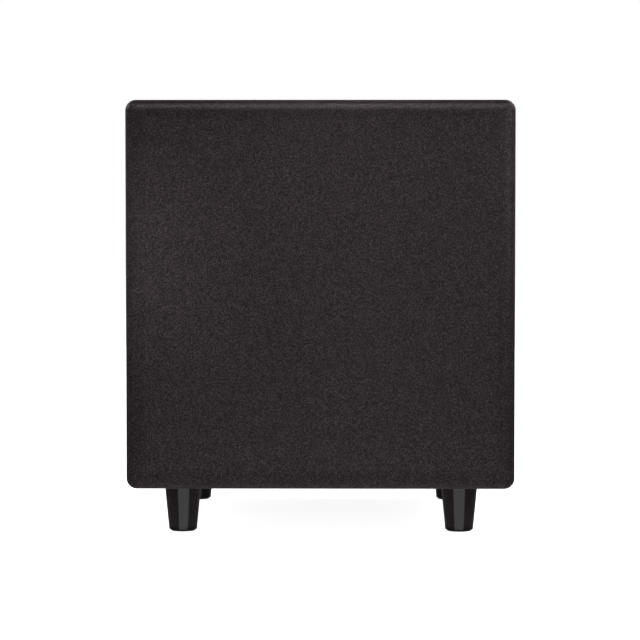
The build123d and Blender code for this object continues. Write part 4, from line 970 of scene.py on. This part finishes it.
def make_rocker_marks():
    """A bar on the half that switches on and a ring on the half that switches off."""
    rocker = nodes["power_rocker"].data
    corners = [vertex.co for vertex in rocker.vertices]
    tree = BVHTree.FromPolygons(corners, [face.vertices for face in rocker.polygons])
    shell = bmesh.new()
    low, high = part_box("power_rocker")
    u = -(low.x + high.x) / 2 / MM
    middle_v = ((low.z + high.z) / 2 - MIDDLE_Z) / MM
    for v in (middle_v + 4.6, middle_v - 4.6):
        hit, normal, _, _ = tree.ray_cast(rear_point(u, v, 40), Vector((0, -1, 0)))
        across = Vector((-1, 0, 0))
        turn = Matrix((across, normal.cross(across), normal)).transposed()
        place = Matrix.Translation(hit) @ turn.to_4x4()
        if v > middle_v:
            bar(shell, (0, 0), 3.4, 0.6, 0.0, place)
        else:
            ring(shell, (0, 0), 1.6, 0.55, place)
    printed("rocker_marks", shell, "rocker")


make_cloth()
make_surround()
make_spider()
make_leads()
make_dial("level_dial_print", LEVEL_UV, "0", "10")
make_dial("crossover_dial_print", CROSSOVER_UV, "50", "150")
make_switch_marks()
make_pointer("level", LEVEL_UV)
make_pointer("crossover", CROSSOVER_UV)
make_rocker_marks()


# ---------------------------------------------------------------- floor, light and background
FLOOR_HALF = 6.0
ROOM_BRIGHTNESS = 0.1


def make_floor():
    """Pale floor with a painted glow: to the camera it glows near white by itself, a little less
    within about 0.9 m of the middle, so that only a faint shadow shows.
    """
    mesh = bpy.data.meshes.new("floor")
    signs = ((-1, -1), (1, -1), (1, 1), (-1, 1))
    corners = [(x * FLOOR_HALF, y * FLOOR_HALF, 0) for x, y in signs]
    mesh.from_pydata(corners, [], [(0, 1, 2, 3)])
    look = Look("floor_paint", (0.6, 0.6, 0.6), 0.9, specular=0.0)
    look.even("Emission Color", rgb(1, 1, 1))
    reach = look.add("ShaderNodeVectorMath", {0: look.place}, operation="LENGTH").outputs["Value"]
    glow = look.span(reach, 0.25, 0.9, 0.88, 1.0)
    seen = look.add("ShaderNodeLightPath").outputs["Is Camera Ray"]
    look.onto("Emission Strength", look.times(glow, seen))
    mesh.materials.append(look.material)
    floor = bpy.data.objects.new("floor", mesh)
    collection.objects.link(floor)
    floor.visible_glossy = False


def panel(name, place, aim, width, height, radiance, spread=180, reflected=True):
    """Soft light from a rectangle: radiance is its brightness, whatever its size. Spread, in
    degrees, narrows its beam, and one that isn't reflected leaves no highlight."""
    light = bpy.data.lights.new(name, "AREA")
    light.shape = "RECTANGLE"
    light.size = width
    light.size_y = height
    light.spread = math.radians(spread)
    light.energy = radiance * math.pi * width * height
    holder = bpy.data.objects.new(name, light)
    holder.location = place
    holder.rotation_euler = (Vector(aim) - Vector(place)).to_track_quat("-Z", "Y").to_euler()
    holder.visible_camera = False
    holder.visible_glossy = reflected
    collection.objects.link(holder)


def make_background():
    """White to the camera, a dim grey room to everything else."""
    world = bpy.data.worlds.new("studio")
    bpy.context.scene.world = world
    world.use_nodes = True
    tree = world.node_tree
    tree.nodes.clear()
    ray = tree.nodes.new("ShaderNodeLightPath")
    seen = tree.nodes.new("ShaderNodeBackground")
    room = tree.nodes.new("ShaderNodeBackground")
    mix = tree.nodes.new("ShaderNodeMixShader")
    output = tree.nodes.new("ShaderNodeOutputWorld")
    seen.inputs["Color"].default_value = rgb(1, 1, 1)
    room.inputs["Color"].default_value = rgb(1, 1, 1)
    room.inputs["Strength"].default_value = ROOM_BRIGHTNESS
    tree.links.new(ray.outputs["Is Camera Ray"], mix.inputs[0])
    tree.links.new(room.outputs[0], mix.inputs[1])
    tree.links.new(seen.outputs[0], mix.inputs[2])
    tree.links.new(mix.outputs[0], output.inputs[0])


make_floor()
make_background()
# The cloth mirrors the front panel and the softboxes. The glows brighten parts of its rim.
panel("front_panel", (0.06, -0.93, 0.06), (0.06, 0, 0.06), 1.3, 0.82, 1.0)
panel("upper_softbox", (0.1, -0.96, 1.69), (0, -0.17, 0.2), 1.6, 0.9, 5.2)
panel("right_softbox", (0.78, -0.7, 0.52), (0.15, -0.17, 0.32), 0.3, 0.4, 8.0)
panel("left_side", (-1.1, -0.5, 0.4), (0, -0.1, 0.2), 0.8, 1.0, 4.6, reflected=False)
panel("right_side", (1.1, -0.5, 0.4), (0, -0.1, 0.2), 0.8, 1.0, 2.0, reflected=False)
panel("right_glow", (0.6, -0.25, 0.5), (0.155, -0.165, 0.29), 0.1, 0.1, 3.0, 40, reflected=False)
panel("left_glow", (-0.3, -0.45, 0.23), (-0.131, -0.17, 0.23), 0.05, 0.15, 2.5, 25, reflected=False)
panel("upper_glow", (0.04, -0.5, 0.9), (0.02, -0.17, 0.29), 0.1, 0.1, 4.8, 24, reflected=False)
panel("floor_glow", (0, -0.12, 0.003), (0, -0.12, 1), 0.36, 0.2, 5.0, reflected=False)
for side in (-1, 1):
    rear, beside = (1.5 * side, 1.5, 1.9), (1.7 * side, 0.75, 1.3)
    panel(f"rear_softbox_{side}", rear, (0, 0, 0.2), 1.4, 1.4, 5.5, reflected=False)
    panel(f"side_softbox_{side}", beside, (0, 0, 0.2), 1.4, 1.2, 2.6)
panel("rear_panel", (0, 2.3, 0.5), (0, 0, 0.2), 2.4, 1.2, 1.5)
